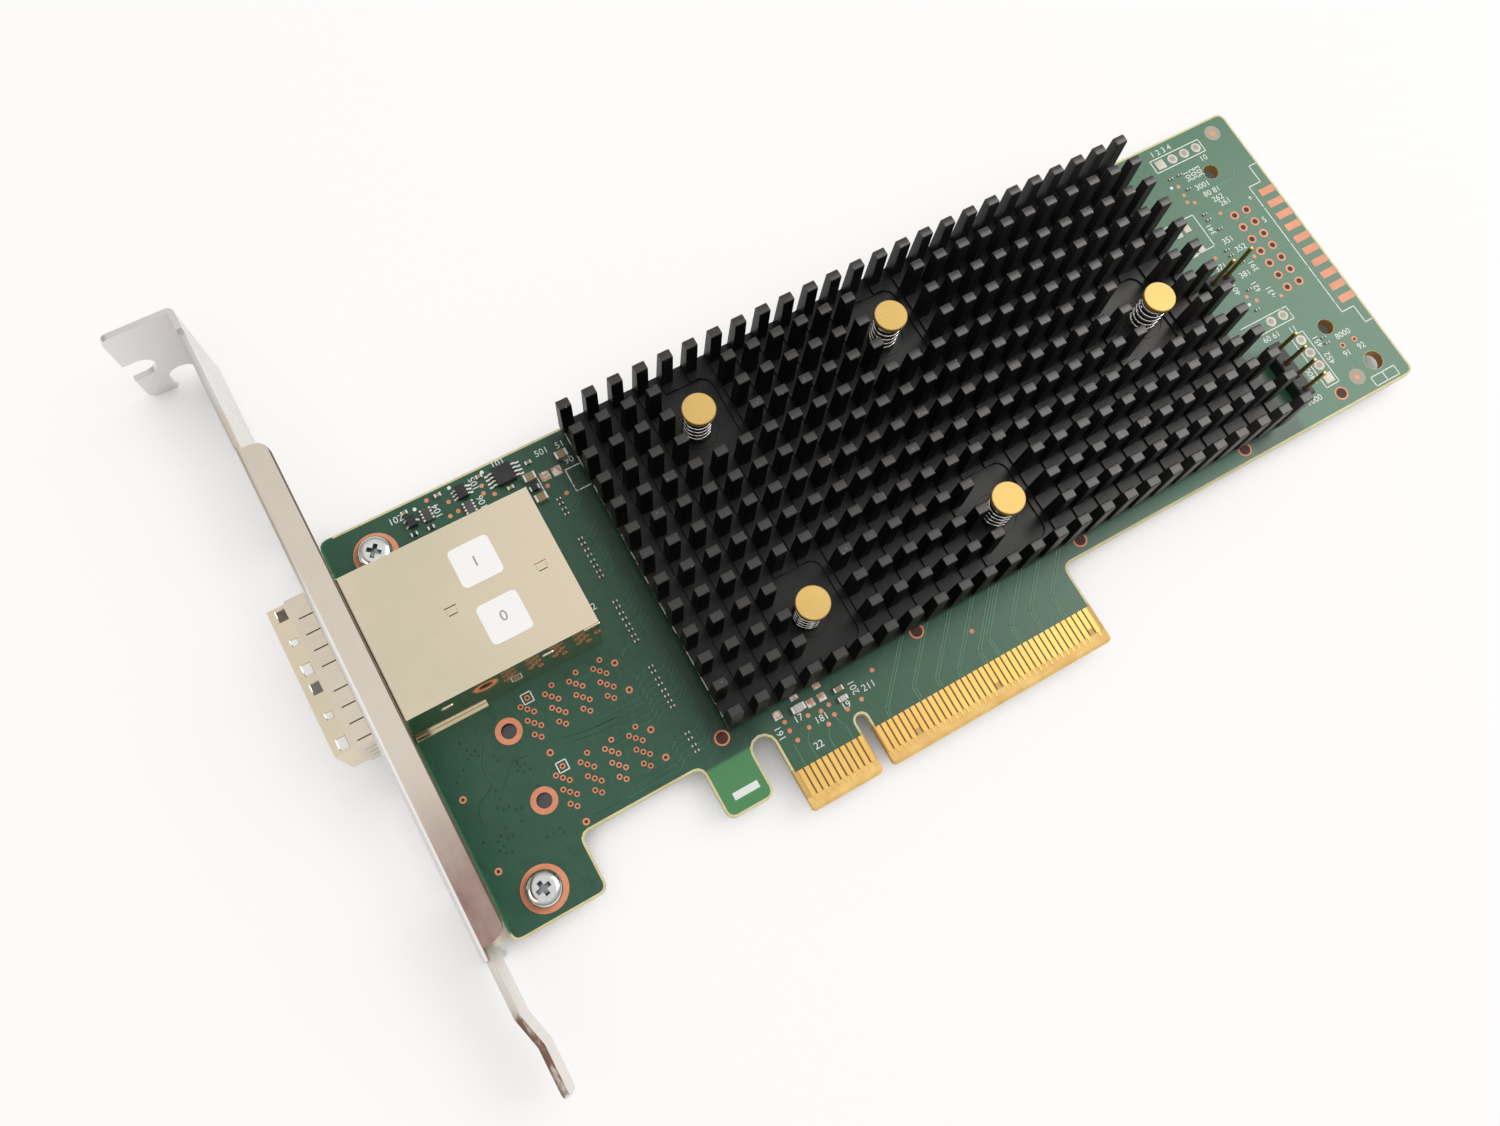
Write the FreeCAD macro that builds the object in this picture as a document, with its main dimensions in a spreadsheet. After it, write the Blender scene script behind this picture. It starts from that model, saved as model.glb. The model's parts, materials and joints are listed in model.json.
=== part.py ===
import FreeCAD
import Part
import Sketcher
import math
import os
from types import SimpleNamespace

# Low-profile host bus adapter card on a full-height bracket, lying with its components up.
# Origin: centre of the key notch, on the lower edge of the edge connector, on the component face.
# X runs along the card away from the bracket, Y runs up the card, Z runs out of the component face.

sizes = {
    # Circuit board
    "board_left": 57.15,
    "board_length": 167.65,
    "board_top": 68.9,
    "board_thickness": 1.57,
    "board_lower_edge": 13.25,
    "board_corner": 1.3,
    "board_inner_corner": 1.2,
    "fixing_tab_width": 14.4,
    "tab_bottom": 4.75,
    "guard_tab_width": 7.5,
    "tongue_slot_width": 3.6,
    "tongue_slot_top": 13.0,
    "tongue_slot_round": 1.75,
    "tongue_left": 12.6,
    "tongue_right": 39.6,
    "tongue_bevel": 0.45,
    "key_width": 1.9,
    "key_height": 8.88,
    "key_round": 0.9,
    # Holes of the board
    "fixing_hole": 3.4,
    "fixing_inset": 6.8,
    "fixing_low": 9.2,
    "fixing_high": 63.4,
    "spare_hole": 2.2,
    "spare_inset": 12.1,
    "spare_low": 19.86,
    "spare_spacing": 11.05,
    "tail_hole": 2.7,
    "tail_hole_inset": 8.66,
    "tail_hole_low": 26.7,
    "tail_hole_high": 59.85,
    "corner_hole": 3.3,
    "corner_hole_inset": 5.1,
    "corner_hole_height": 18.05,
    # Edge contacts
    "contact_pitch": 1.0,
    "contact_width": 0.7,
    "contact_thickness": 0.05,
    "contact_bottom": 2.0,
    "contact_top": 6.06,
    "contact_short_bottom": 3.0,
    "contact_key_offset": 1.5,
    "contacts_before_key": 11,
    "contacts_after_key": 38,
    # Bracket
    "sheet": 0.9,
    "bracket_face": 60.1,
    "bracket_low": 4.2,
    "bracket_width": 18.42,
    "bracket_bend": 1.0,
    "shelf_top": 104.85,
    "shelf_reach": 9.9,
    "shelf_corner": 1.4,
    "shelf_slot_width": 4.4,
    "shelf_slot_depth": 4.1,
    "shelf_slot_centre": 4.1,
    "shelf_notch_gap": 1.5,
    "shelf_notch_width": 4.2,
    "shelf_notch_depth": 5.0,
    "plate_bottom": 4.0,
    "neck_start": 80.9,
    "neck_end": 101.0,
    "neck_drop": 0.9,
    "flange_start": 5.7,
    "flange_end": 80.4,
    "flange_reach": 4.3,
    "flange_corner": 2.0,
    "foot_low": 0.1,
    "foot_width": 10.2,
    "foot_tip": 15.2,
    "foot_corner": 1.6,
    "foot_step": 1.1,
    "foot_step_start": 3.7,
    "foot_step_end": 8.2,
    "lug_width": 7.2,
    "lug_relief": 0.6,
    "lug_reach": 13.6,
    "lug_corner": 1.5,
    "port_window_gap": 0.5,
    "vent_across_flats": 3.8,
    "vent_pitch": 4.5,
    "vent_row_pitch": 3.9,
    "vent_first_row": 1.1,
    "vent_low_start": 15.6,
    "vent_high_start": 65.0,
    # Bracket screws
    "screw_shank": 2.8,
    "screw_thread_gap": 0.05,
    "screw_head": 5.8,
    "screw_head_height": 1.9,
    "screw_below_lug": 1.1,
    # Port cage
    "cage_sheet": 0.35,
    "cage_front": 65.6,
    "cage_back": 27.4,
    "cage_centre": 47.05,
    "cage_width": 22.0,
    "cage_height": 12.5,
    "cage_floor": 2.5,
    "cage_skirt_start": 56.9,
    "port_pitch": 11.07,
    "cage_web": 0.5,
    "window_centre": 63.95,
    "window_length": 1.2,
    "window_width": 1.6,
    "window_small": 0.9,
    "window_offset": 4.13,
    "lance_length": 1.9,
    "lance_width": 0.5,
    "lance_height": 0.3,
    "lance_front": 44.1,
    "lance_back": 30.7,
    "rail_end": 45.8,
    "rail_width": 0.6,
    "rail_height": 0.35,
    # Spring collar round the cage mouth
    "collar_sheet": 0.25,
    "collar_length": 2.9,
    "collar_slit": 0.2,
    "collar_slit_length": 2.1,
    "collar_finger": 2.45,
    # Port connectors
    "socket_gap": 0.3,
    "socket_front": 46.0,
    "socket_top": 11.8,
    "socket_slot_width": 7.6,
    "socket_slot_height": 1.2,
    "socket_slot_depth": 6.5,
    "socket_slot_low": 5.0,
    "socket_slot_spacing": 4.4,
    "terminal_pitch": 0.75,
    "terminal_width": 0.35,
    "terminal_thickness": 0.2,
    "terminal_length": 5.0,
    "terminals_per_row": 8,
    # Port labels
    "label_side": 6.0,
    "label_thickness": 0.1,
    "label_centre": 38.3,
    "label_offset": 4.45,
    # Heat sink
    "sink_columns": 25,
    "sink_rows": 13,
    "sink_pitch_x": 4.1465,
    "sink_pitch_y": 4.225,
    "sink_first_x": -17.03,
    "sink_first_y": 16.67,
    "sink_pin_length": 1.9,
    "sink_pin_root": 1.98,
    "sink_pin_tip": 1.46,
    "sink_bottom": 2.0,
    "sink_channel_floor": 3.5,
    "sink_top": 11.5,
    "recess_floor": 2.8,
    "recess_length": 8.4,
    "recess_width": 13.5,
    "recess_shift": 1.53,
    "recess_rise": 0.3,
    "tail_recess_shift": -0.5,
    # Controller under the heat sink
    "die_side": 12.0,
    "die_height": 0.55,
    "substrate_side": 27.0,
    "substrate_height": 1.15,
    "pad_side": 14.0,
    # Push pins and their springs
    "pin_first_x": 0.1,
    "pin_first_y": 24.8,
    "pin_spacing": 33.2,
    "tail_pin_x": 72.6,
    "pin_shank": 2.4,
    "pin_hole_gap": 0.2,
    "pin_head": 5.1,
    "pin_head_height": 1.0,
    "pin_top": 10.5,
    "pin_barb": 3.5,
    "pin_barb_lip": 1.0,
    "pin_barb_height": 1.9,
    "spring_wire": 0.45,
    "spring_mean": 3.95,
    "spring_turns": 3,
    # Pin headers
    "header_pitch": 2.54,
    "header_pin": 0.64,
    "header_base_height": 2.54,
    "header_tail": 2.0,
    "long_header_x": 90.0,
    "long_header_y": 18.98,
    "long_header_top": 8.4,
    "jumper_x": 87.66,
    "jumper_y": 41.4,
    "jumper_short_top": 9.8,
    "jumper_top": 11.5,
    # Leaded chips near the top edge
    "memory_x": -28.55,
    "memory_y": 65.9,
    "memory_side": 3.0,
    "memory_over_leads": 5.7,
    "buffer_x": -35.3,
    "buffer_y": 66.3,
    "buffer_length": 1.5,
    "buffer_width": 2.1,
    "buffer_over_leads": 3.1,
    "switch_x": -43.75,
    "switch_y": 65.45,
    "switch_length": 1.3,
    "switch_width": 1.7,
    "switch_over_leads": 2.3,
    "chip_height": 0.95,
    "chip_lift": 0.1,
    "lead_pitch": 0.65,
    "buffer_lead_pitch": 0.6,
    "lead_width": 0.3,
    "lead_thickness": 0.35,
    # Small surface-mounted parts
    "network_length": 1.5,
    "network_width": 2.2,
    "network_height": 0.5,
    "large_length": 2.0,
    "large_width": 1.3,
    "large_height": 1.1,
    "medium_length": 1.6,
    "medium_width": 0.85,
    "medium_height": 0.7,
    "small_length": 1.0,
    "small_width": 0.55,
    "small_height": 0.45,
    "fuse_length": 2.3,
    "fuse_width": 1.2,
    "fuse_height": 0.8,
    "terminal_share": 0.22,
    "underside_pitch": 3.6,
}

doc = FreeCAD.newDocument("host_bus_adapter")
sheet = doc.addObject("Spreadsheet::Sheet", "Sizes")
for row, (alias, number) in enumerate(sizes.items(), start=1):
    sheet.set(f"A{row}", alias)
    sheet.set(f"B{row}", str(number))
    sheet.setAlias(f"B{row}", alias)
doc.recompute()


CORNER_FLATS = 3
HOLE_SIDES = 12
SHANK_SIDES = 8
HEAD_SIDES = 12
SPRING_STEPS = 6


class Size:
    def __init__(self, value, text):
        self.value = value
        self.text = text

    def __add__(self, other):
        other = as_size(other)
        return Size(self.value + other.value, f"({self.text} + {other.text})")

    def __sub__(self, other):
        other = as_size(other)
        return Size(self.value - other.value, f"({self.text} - {other.text})")

    def __mul__(self, other):
        other = as_size(other)
        return Size(self.value * other.value, f"({self.text} * {other.text})")

    def __truediv__(self, other):
        other = as_size(other)
        return Size(self.value / other.value, f"({self.text} / {other.text})")

    def __radd__(self, other):
        return as_size(other) + self

    def __rsub__(self, other):
        return as_size(other) - self

    def __rmul__(self, other):
        return as_size(other) * self

    def __neg__(self):
        return Size(-self.value, f"(0 - {self.text})")


def as_size(item):
    if isinstance(item, Size):
        return item
    return Size(float(item), f"({item})")


d = SimpleNamespace(**{alias: Size(float(sheet.get(alias)), f"Sizes.{alias}") for alias in sizes})


def count(size):
    return int(round(size.value))


# Solids bound to the sheet
def bind(item, **properties):
    for name, size in properties.items():
        item.setExpression(name, as_size(size).text)


def place(item, x, y, z):
    for axis, size in zip("xyz", (x, y, z)):
        item.setExpression(f"Placement.Base.{axis}", as_size(size).text)


def block(name, xs, ys, zs):
    item = doc.addObject("Part::Box", name)
    low = [as_size(pair[0]) for pair in (xs, ys, zs)]
    high = [as_size(pair[1]) for pair in (xs, ys, zs)]
    bind(item, Length=high[0] - low[0], Width=high[1] - low[1], Height=high[2] - low[2])
    place(item, *low)
    return item


def block_at(name, x, y, length, width, zs):
    x = as_size(x)
    y = as_size(y)
    return block(name, (x - length / 2, x + length / 2), (y - width / 2, y + width / 2), zs)


def rod(name, x, y, zs, diameter):
    item = doc.addObject("Part::Cylinder", name)
    bind(item, Radius=diameter / 2, Height=as_size(zs[1]) - zs[0])
    place(item, x, y, zs[0])
    return item


def prism(name, x, y, zs, diameter, sides):
    item = doc.addObject("Part::Prism", name)
    item.Polygon = sides
    bind(item, Circumradius=diameter / 2, Height=as_size(zs[1]) - zs[0])
    place(item, x, y, zs[0])
    return item


# Tool for a clearance hole with flat sides, clear of a round shank of that diameter
def sided_hole(name, x, y, zs, diameter, sides):
    return prism(name, x, y, zs, diameter / math.cos(math.pi / sides), sides)


def group(label, items):
    item = doc.addObject("Part::Compound", label)
    item.Links = items
    return item


def joined(label, items):
    item = doc.addObject("Part::MultiFuse", label)
    item.Shapes = items
    item.Refine = True
    return item


def cut(label, base, tool):
    item = doc.addObject("Part::Cut", label)
    item.Base = base
    item.Tool = tool
    item.Refine = True
    return item


# Bodies, sketches and their features
def new_body(label):
    return doc.addObject("PartDesign::Body", label)


def origin_item(body, role):
    return next(item for item in body.Origin.OriginFeatures if item.Role == role)


def new_sketch(body, name, role, offset):
    item = body.newObject("Sketcher::SketchObject", name)
    item.AttachmentSupport = [(origin_item(body, role), "")]
    item.MapMode = "FlatFace"
    item.setExpression("AttachmentOffset.Base.z", as_size(offset).text)
    return item


# Adds constraints together, each given with the size that drives it or with none
def constrain(item, driven):
    first = item.ConstraintCount
    item.addConstraint([constraint for constraint, size in driven])
    for number, (constraint, size) in enumerate(driven, start=first):
        if size is not None:
            item.setExpression(f"Constraints[{number}]", size.text)


def fixed(line, end, point):
    return [
        (Sketcher.Constraint(kind, -1, 1, line, end, size.value), size)
        for kind, size in zip(("DistanceX", "DistanceY"), point)
    ]


def vector(point):
    return FreeCAD.Vector(point[0].value, point[1].value, 0)


def shifted(corner, towards, radius):
    step_x = towards[0].value - corner[0].value
    step_y = towards[1].value - corner[1].value
    if abs(step_x) > abs(step_y):
        return (corner[0] + radius * math.copysign(1, step_x), corner[1])
    return (corner[0], corner[1] + radius * math.copysign(1, step_y))


# A corner's round made of a few flats between the points where it leaves the two straight sides
def rounded(corner, before, after, radius, flats):
    arrive = shifted(corner, before, radius)
    leave = shifted(corner, after, radius)
    points = [arrive]
    for step in range(1, flats):
        angle = math.pi / 2 * step / flats
        points.append(tuple(
            arrive[axis] + leave[axis] - corner[axis]
            + (corner[axis] - leave[axis]) * math.cos(angle)
            + (corner[axis] - arrive[axis]) * math.sin(angle)
            for axis in (0, 1)
        ))
    points.append(leave)
    return points


# Closed outline through corners (x, y) or, where two straight sides meet squarely, (x, y, radius)
def outline(item, corners):
    corners = [tuple(as_size(entry) for entry in corner) for corner in corners]
    points = []
    for index, corner in enumerate(corners):
        if len(corner) == 3:
            after = corners[(index + 1) % len(corners)]
            points += rounded(corner, corners[index - 1], after, corner[2], CORNER_FLATS)
        else:
            points.append(corner)
    first = item.GeometryCount
    total = len(points)
    ahead = points[1:] + points[:1]
    item.addGeometry([Part.LineSegment(vector(one), vector(two)) for one, two in zip(points, ahead)], False)
    driven = []
    for index, point in enumerate(points):
        following = first + (index + 1) % total
        driven.append((Sketcher.Constraint("Coincident", first + index, 2, following, 1), None))
        driven += fixed(first + index, 1, point)
    constrain(item, driven)


def rectangle(item, xs, ys):
    outline(item, [(xs[0], ys[0]), (xs[1], ys[0]), (xs[1], ys[1]), (xs[0], ys[1])])


def pad(body, sketch, length):
    item = body.newObject("PartDesign::Pad", f"{sketch.Name}_pad")
    item.Profile = sketch
    item.setExpression("Length", as_size(length).text)
    body.Tip = item
    doc.recompute()
    return item


def pocket(body, sketch, depth=None):
    before = body.Shape.Volume
    item = body.newObject("PartDesign::Pocket", f"{sketch.Name}_pocket")
    item.Profile = sketch
    if depth is None:
        item.Type = "ThroughAll"
    else:
        item.setExpression("Length", as_size(depth).text)
    body.Tip = item
    doc.recompute()
    if not body.Shape.Volume < before - 1e-6:
        raise ValueError(f"{sketch.Name} removes nothing")
    return item


def pattern(body, feature, role, spacing, number):
    item = body.newObject("PartDesign::LinearPattern", f"{feature.Name}_row")
    item.Originals = [feature]
    item.Direction = (origin_item(body, role), [""])
    item.setExpression("Length", (spacing * (number - 1)).text)
    item.setExpression("Occurrences", number.text)
    body.Tip = item
    doc.recompute()
    return item


def edges_where(shape, test):
    names = []
    for index, edge in enumerate(shape.Edges, start=1):
        ends = [vertex.Point for vertex in edge.Vertexes]
        if len(ends) == 2 and all(test(end) for end in ends):
            names.append(f"Edge{index}")
    return names


def near(value, size):
    return abs(value - as_size(size).value) < 1e-4


def dress(body, kind, name, size_name, size, names):
    previous = body.Tip
    item = body.newObject(f"PartDesign::{kind}", name)
    item.Base = (previous, names)
    item.setExpression(size_name, as_size(size).text)
    body.Tip = item
    doc.recompute()
    return item


# Positions shared by several pieces
zero = as_size(0)
board_left = -d.board_left
board_right = board_left + d.board_length
board_bottom = -d.board_thickness
fixing_x = board_left + d.fixing_inset
fixings = [(fixing_x, d.fixing_low), (fixing_x, d.fixing_high)]
chip_x = d.pin_first_x + d.pin_spacing / 2
chip_y = d.pin_first_y + d.pin_spacing / 2
corner_pins = [
    (d.pin_first_x + d.pin_spacing * column, d.pin_first_y + d.pin_spacing * line)
    for line in (0, 1)
    for column in (0, 1)
]
tail_pin = (d.tail_pin_x, chip_y)
push_pins = corner_pins + [tail_pin]
pin_hole = d.pin_shank + d.pin_hole_gap * 2

# Headers: square pins through the base and the board
long_pins = [
    block_at(
        f"long_pin_{index}",
        d.long_header_x,
        d.long_header_y + d.header_pitch * index,
        d.header_pin,
        d.header_pin,
        (board_bottom - d.header_tail, d.long_header_top),
    )
    for index in range(4)
]
jumper_posts = [
    block_at(
        f"jumper_pin_{index}",
        d.jumper_x + d.header_pitch * index,
        d.jumper_y,
        d.header_pin,
        d.header_pin,
        (board_bottom - d.header_tail, top),
    )
    for index, top in enumerate((d.jumper_short_top, d.jumper_top))
]
serial_pins = group("serial_header_pins", long_pins)
jumper_pins = group("jumper_pins", jumper_posts)
serial_blank = block_at(
    "serial_blank",
    d.long_header_x,
    d.long_header_y + d.header_pitch * 1.5,
    d.header_pitch,
    d.header_pitch * 4,
    (0, d.header_base_height),
)
jumper_blank = block_at(
    "jumper_blank",
    d.jumper_x + d.header_pitch / 2,
    d.jumper_y,
    d.header_pitch * 2,
    d.header_pitch,
    (0, d.header_base_height),
)
serial_base = cut("serial_header_base", serial_blank, serial_pins)
jumper_base = cut("jumper_base", jumper_blank, jumper_pins)

# Circuit board
blank = new_body("board_blank")
board_outline = new_sketch(blank, "board_outline", "XY_Plane", board_bottom)
guard_right = -d.tongue_left - d.tongue_slot_width
guard_left = guard_right - d.guard_tab_width
tab_right = board_left + d.fixing_tab_width
half_key = d.key_width / 2
corner = d.board_corner
inner = d.board_inner_corner
outline(board_outline, [
    (board_left, d.tab_bottom, corner),
    (tab_right, d.tab_bottom, corner),
    (tab_right, d.board_lower_edge, inner),
    (guard_left, d.board_lower_edge, inner),
    (guard_left, d.tab_bottom, corner),
    (guard_right, d.tab_bottom, corner),
    (guard_right, d.tongue_slot_top, d.tongue_slot_round),
    (-d.tongue_left, d.tongue_slot_top, d.tongue_slot_round),
    (-d.tongue_left, zero),
    (-half_key, zero),
    (-half_key, d.key_height, d.key_round),
    (half_key, d.key_height, d.key_round),
    (half_key, zero),
    (d.tongue_right, zero),
    (d.tongue_right, d.board_lower_edge, inner),
    (board_right, d.board_lower_edge, corner),
    (board_right, d.board_top, corner),
    (board_left, d.board_top, corner),
])
pad(blank, board_outline, d.board_thickness)
bevelled = edges_where(blank.Shape, lambda end: near(end.y, 0) and (near(end.z, 0) or near(end.z, board_bottom)))
level_edges = [
    name for name in bevelled
    if abs(blank.Shape.getElement(name).Vertexes[0].Z - blank.Shape.getElement(name).Vertexes[-1].Z) < 1e-6
]
dress(blank, "Chamfer", "tongue_bevel_cut", "Size", d.tongue_bevel, level_edges)
through_board = (board_bottom - 1, 1)
corner_hole_x = board_right - d.corner_hole_inset
board_tools = long_pins + jumper_posts
board_tools.append(rod("corner_bore", corner_hole_x, d.corner_hole_height, through_board, d.corner_hole))
for index, (x, y) in enumerate(fixings):
    board_tools.append(sided_hole(f"fixing_bore_{index}", x, y, through_board, d.fixing_hole, SHANK_SIDES))
for index, (x, y) in enumerate(push_pins):
    board_tools.append(sided_hole(f"board_pin_bore_{index}", x, y, through_board, pin_hole, SHANK_SIDES))
for index in range(2):
    x = board_left + d.spare_inset
    y = d.spare_low + d.spare_spacing * index
    board_tools.append(sided_hole(f"spare_bore_{index}", x, y, through_board, d.spare_hole, HOLE_SIDES))
for index, y in enumerate((d.tail_hole_low, d.tail_hole_high)):
    x = board_right - d.tail_hole_inset
    board_tools.append(sided_hole(f"tail_bore_{index}", x, y, through_board, d.tail_hole, HOLE_SIDES))
circuit_board = cut("circuit_board", blank, group("board_tool_set", board_tools))

# Gold contacts on both faces of the tongue; three on the component face stop short of the tip
contact_sites = [
    -d.contact_key_offset - d.contact_pitch * index for index in range(count(d.contacts_before_key))
] + [
    d.contact_key_offset + d.contact_pitch * index for index in range(count(d.contacts_after_key))
]
short_sites = (16, 30, 47)
contacts = []
for index, x in enumerate(contact_sites):
    bottom = d.contact_short_bottom if index in short_sites else d.contact_bottom
    span = (x - d.contact_width / 2, x + d.contact_width / 2)
    upper = (0, d.contact_thickness)
    lower = (board_bottom - d.contact_thickness, board_bottom)
    contacts.append(block(f"upper_contact_{index}", span, (bottom, d.contact_top), upper))
    contacts.append(block(f"lower_contact_{index}", span, (d.contact_bottom, d.contact_top), lower))
edge_contacts = group("edge_contacts", contacts)

# Bracket: folded sheet with shelf, foot, stiffening flange and two fixing lugs
plate = new_body("bracket_sheet")
face = -d.bracket_face
back = face + d.sheet
low = -d.bracket_low
high = low + d.bracket_width
shelf_under = d.shelf_top - d.sheet
shelf_edge = face - d.shelf_reach
profile = new_sketch(plate, "bracket_profile", "XY_Plane", low)
outline(profile, [
    (back, d.shelf_top, d.bracket_bend),
    (shelf_edge, d.shelf_top),
    (shelf_edge, shelf_under),
    (face, shelf_under),
    (face, -d.foot_step_start),
    (face + d.foot_step, -d.foot_step_end),
    (face + d.foot_step, -d.foot_tip),
    (back + d.foot_step, -d.foot_tip),
    (back + d.foot_step, -d.foot_step_end),
    (back, -d.foot_step_start),
])
pad(plate, profile, d.bracket_width)
flange_sketch = new_sketch(plate, "flange_outline", "XY_Plane", high - d.sheet)
flange_edge = face + d.flange_reach
outline(flange_sketch, [
    (face, d.flange_start),
    (flange_edge, d.flange_start, d.flange_corner),
    (flange_edge, d.flange_end, d.flange_corner),
    (face, d.flange_end),
])
pad(plate, flange_sketch, d.sheet)
lug_top = board_bottom
lug_bottom = lug_top - d.sheet
lug_sketch = new_sketch(plate, "lug_outline", "XY_Plane", lug_bottom)
for x, y in fixings:
    lug_edge = face + d.lug_reach
    outline(lug_sketch, [
        (face, y - d.lug_width / 2),
        (lug_edge, y - d.lug_width / 2, d.lug_corner),
        (lug_edge, y + d.lug_width / 2, d.lug_corner),
        (face, y + d.lug_width / 2),
    ])
pad(plate, lug_sketch, d.sheet)
trim = new_sketch(plate, "bracket_trim", "YZ_Plane", back + d.foot_step + 1)
beyond_low = low - 1
beyond_high = high + 1
foot_high = -d.foot_low + d.foot_width
rectangle(trim, (-d.foot_tip - 1, d.plate_bottom), (beyond_low, -d.foot_low))
rectangle(trim, (-d.foot_tip - 1, d.plate_bottom), (foot_high, beyond_high))
rectangle(trim, (d.neck_start, d.neck_end), (high - d.neck_drop, beyond_high))
pocket(plate, trim)
lug_trim = new_sketch(plate, "lug_relief", "YZ_Plane", back)
for x, y in fixings:
    half = d.lug_width / 2 + d.lug_relief
    rectangle(lug_trim, (y - half, y + half), (beyond_low, lug_bottom))
pocket(plate, lug_trim, d.sheet)
window = new_sketch(plate, "port_window", "YZ_Plane", back)
cage_low = d.cage_centre - d.cage_width / 2
cage_high = d.cage_centre + d.cage_width / 2
gap = d.port_window_gap
rectangle(window, (cage_low - gap, cage_high + gap), (d.cage_floor - gap, d.cage_height + gap))
pocket(plate, window, d.sheet)
shelf_cuts = new_sketch(plate, "shelf_cuts", "XZ_Plane", 1 - shelf_under)
slot_end = shelf_edge + d.shelf_slot_depth
slot_round = d.shelf_slot_width * 0.48
outline(shelf_cuts, [
    (shelf_edge - 1, d.shelf_slot_centre - d.shelf_slot_width / 2),
    (slot_end, d.shelf_slot_centre - d.shelf_slot_width / 2, slot_round),
    (slot_end, d.shelf_slot_centre + d.shelf_slot_width / 2, slot_round),
    (shelf_edge - 1, d.shelf_slot_centre + d.shelf_slot_width / 2),
])
notch_right = face - d.shelf_notch_gap
notch_left = notch_right - d.shelf_notch_width
notch_round = d.shelf_notch_width * 0.48
outline(shelf_cuts, [
    (notch_left, beyond_low),
    (notch_right, beyond_low),
    (notch_right, low + d.shelf_notch_depth, notch_round),
    (notch_left, low + d.shelf_notch_depth, notch_round),
])
pocket(plate, shelf_cuts, d.sheet + 2)
shelf_corners = edges_where(
    plate.Shape,
    lambda end: near(end.x, shelf_edge) and end.y > 0 and (near(end.z, low) or near(end.z, high)),
)
dress(plate, "Fillet", "shelf_rounding", "Radius", d.shelf_corner, shelf_corners)
foot_corners = edges_where(
    plate.Shape,
    lambda end: near(end.y, -d.foot_tip) and (near(end.z, -d.foot_low) or near(end.z, foot_high)),
)
foot_corners = [
    name for name in foot_corners
    if abs(plate.Shape.getElement(name).Vertexes[0].Z - plate.Shape.getElement(name).Vertexes[-1].Z) < 1e-6
]
dress(plate, "Fillet", "foot_rounding", "Radius", d.foot_corner, foot_corners)
flange_bend = [
    name for name in edges_where(plate.Shape, lambda end: near(end.x, face) and near(end.z, high))
    if plate.Shape.getElement(name).Length > 20
]
dress(plate, "Fillet", "flange_bend", "Radius", d.sheet * 0.85, flange_bend)


# Hexagonal vents beside the port window, in staggered rows
def vent_field(name, start, rows):
    vents = []
    for line, number in enumerate(rows):
        for index in range(number):
            item = doc.addObject("Part::Prism", f"{name}_{line}_{index}")
            item.Polygon = 6
            bind(item, Circumradius=d.vent_across_flats / math.sqrt(3), Height=d.sheet + 2)
            turn = FreeCAD.Rotation(FreeCAD.Vector(0, 1, 0), 90)
            item.Placement = FreeCAD.Placement(FreeCAD.Vector(0, 0, 0), turn)
            place(
                item,
                face - 1,
                start + d.vent_pitch * (index + 0.5 * (line % 2)),
                d.vent_first_row + d.vent_row_pitch * line,
            )
            vents.append(item)
    return vents


low_vents = vent_field("low_vent", d.vent_low_start, (4, 3, 4))
high_vents = vent_field("high_vent", d.vent_high_start, (2, 1, 2))
lug_hole = d.screw_shank + d.screw_thread_gap * 2
through_lug = (lug_bottom - 1, lug_top + 1)
lug_bores = [
    sided_hole(f"lug_bore_{index}", x, y, through_lug, lug_hole, SHANK_SIDES)
    for index, (x, y) in enumerate(fixings)
]
bracket_tools = group("bracket_tool_set", low_vents + high_vents + lug_bores)
io_bracket = cut("io_bracket", plate, bracket_tools)

# Screws that hold the board on the bracket lugs
screws = [
    joined(f"screw_{index}", [
        prism(f"screw_shank_{index}", x, y, (lug_bottom - d.screw_below_lug, 0), d.screw_shank, SHANK_SIDES),
        prism(f"screw_head_{index}", x, y, (0, d.screw_head_height), d.screw_head, HEAD_SIDES),
    ])
    for index, (x, y) in enumerate(fixings)
]
bracket_screws = group("bracket_screws", screws)

# Port cage: folded shell, open at the front and over the board
cage_front = -d.cage_front
cage_back = -d.cage_back
skirt = -d.cage_skirt_start
lances = [
    block_at(
        f"cage_lance_{index}",
        x,
        d.cage_centre,
        d.lance_length,
        d.lance_width,
        (d.cage_height - d.cage_sheet, d.cage_height + d.lance_height),
    )
    for index, x in enumerate((-d.lance_front, -d.lance_back))
]
rails = [
    block("low_rail", (skirt, -d.rail_end), (cage_low - d.rail_width, cage_low), (0, d.rail_height)),
    block("high_rail", (skirt, -d.rail_end), (cage_high, cage_high + d.rail_width), (0, d.rail_height)),
]
cage_outer = joined("cage_outer", [
    block("cage_mouth", (cage_front, skirt), (cage_low, cage_high), (d.cage_floor, d.cage_height)),
    block("cage_rear", (skirt, cage_back), (cage_low, cage_high), (0, d.cage_height)),
] + lances + rails)
cage_spaces = []
ports = []
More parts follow.
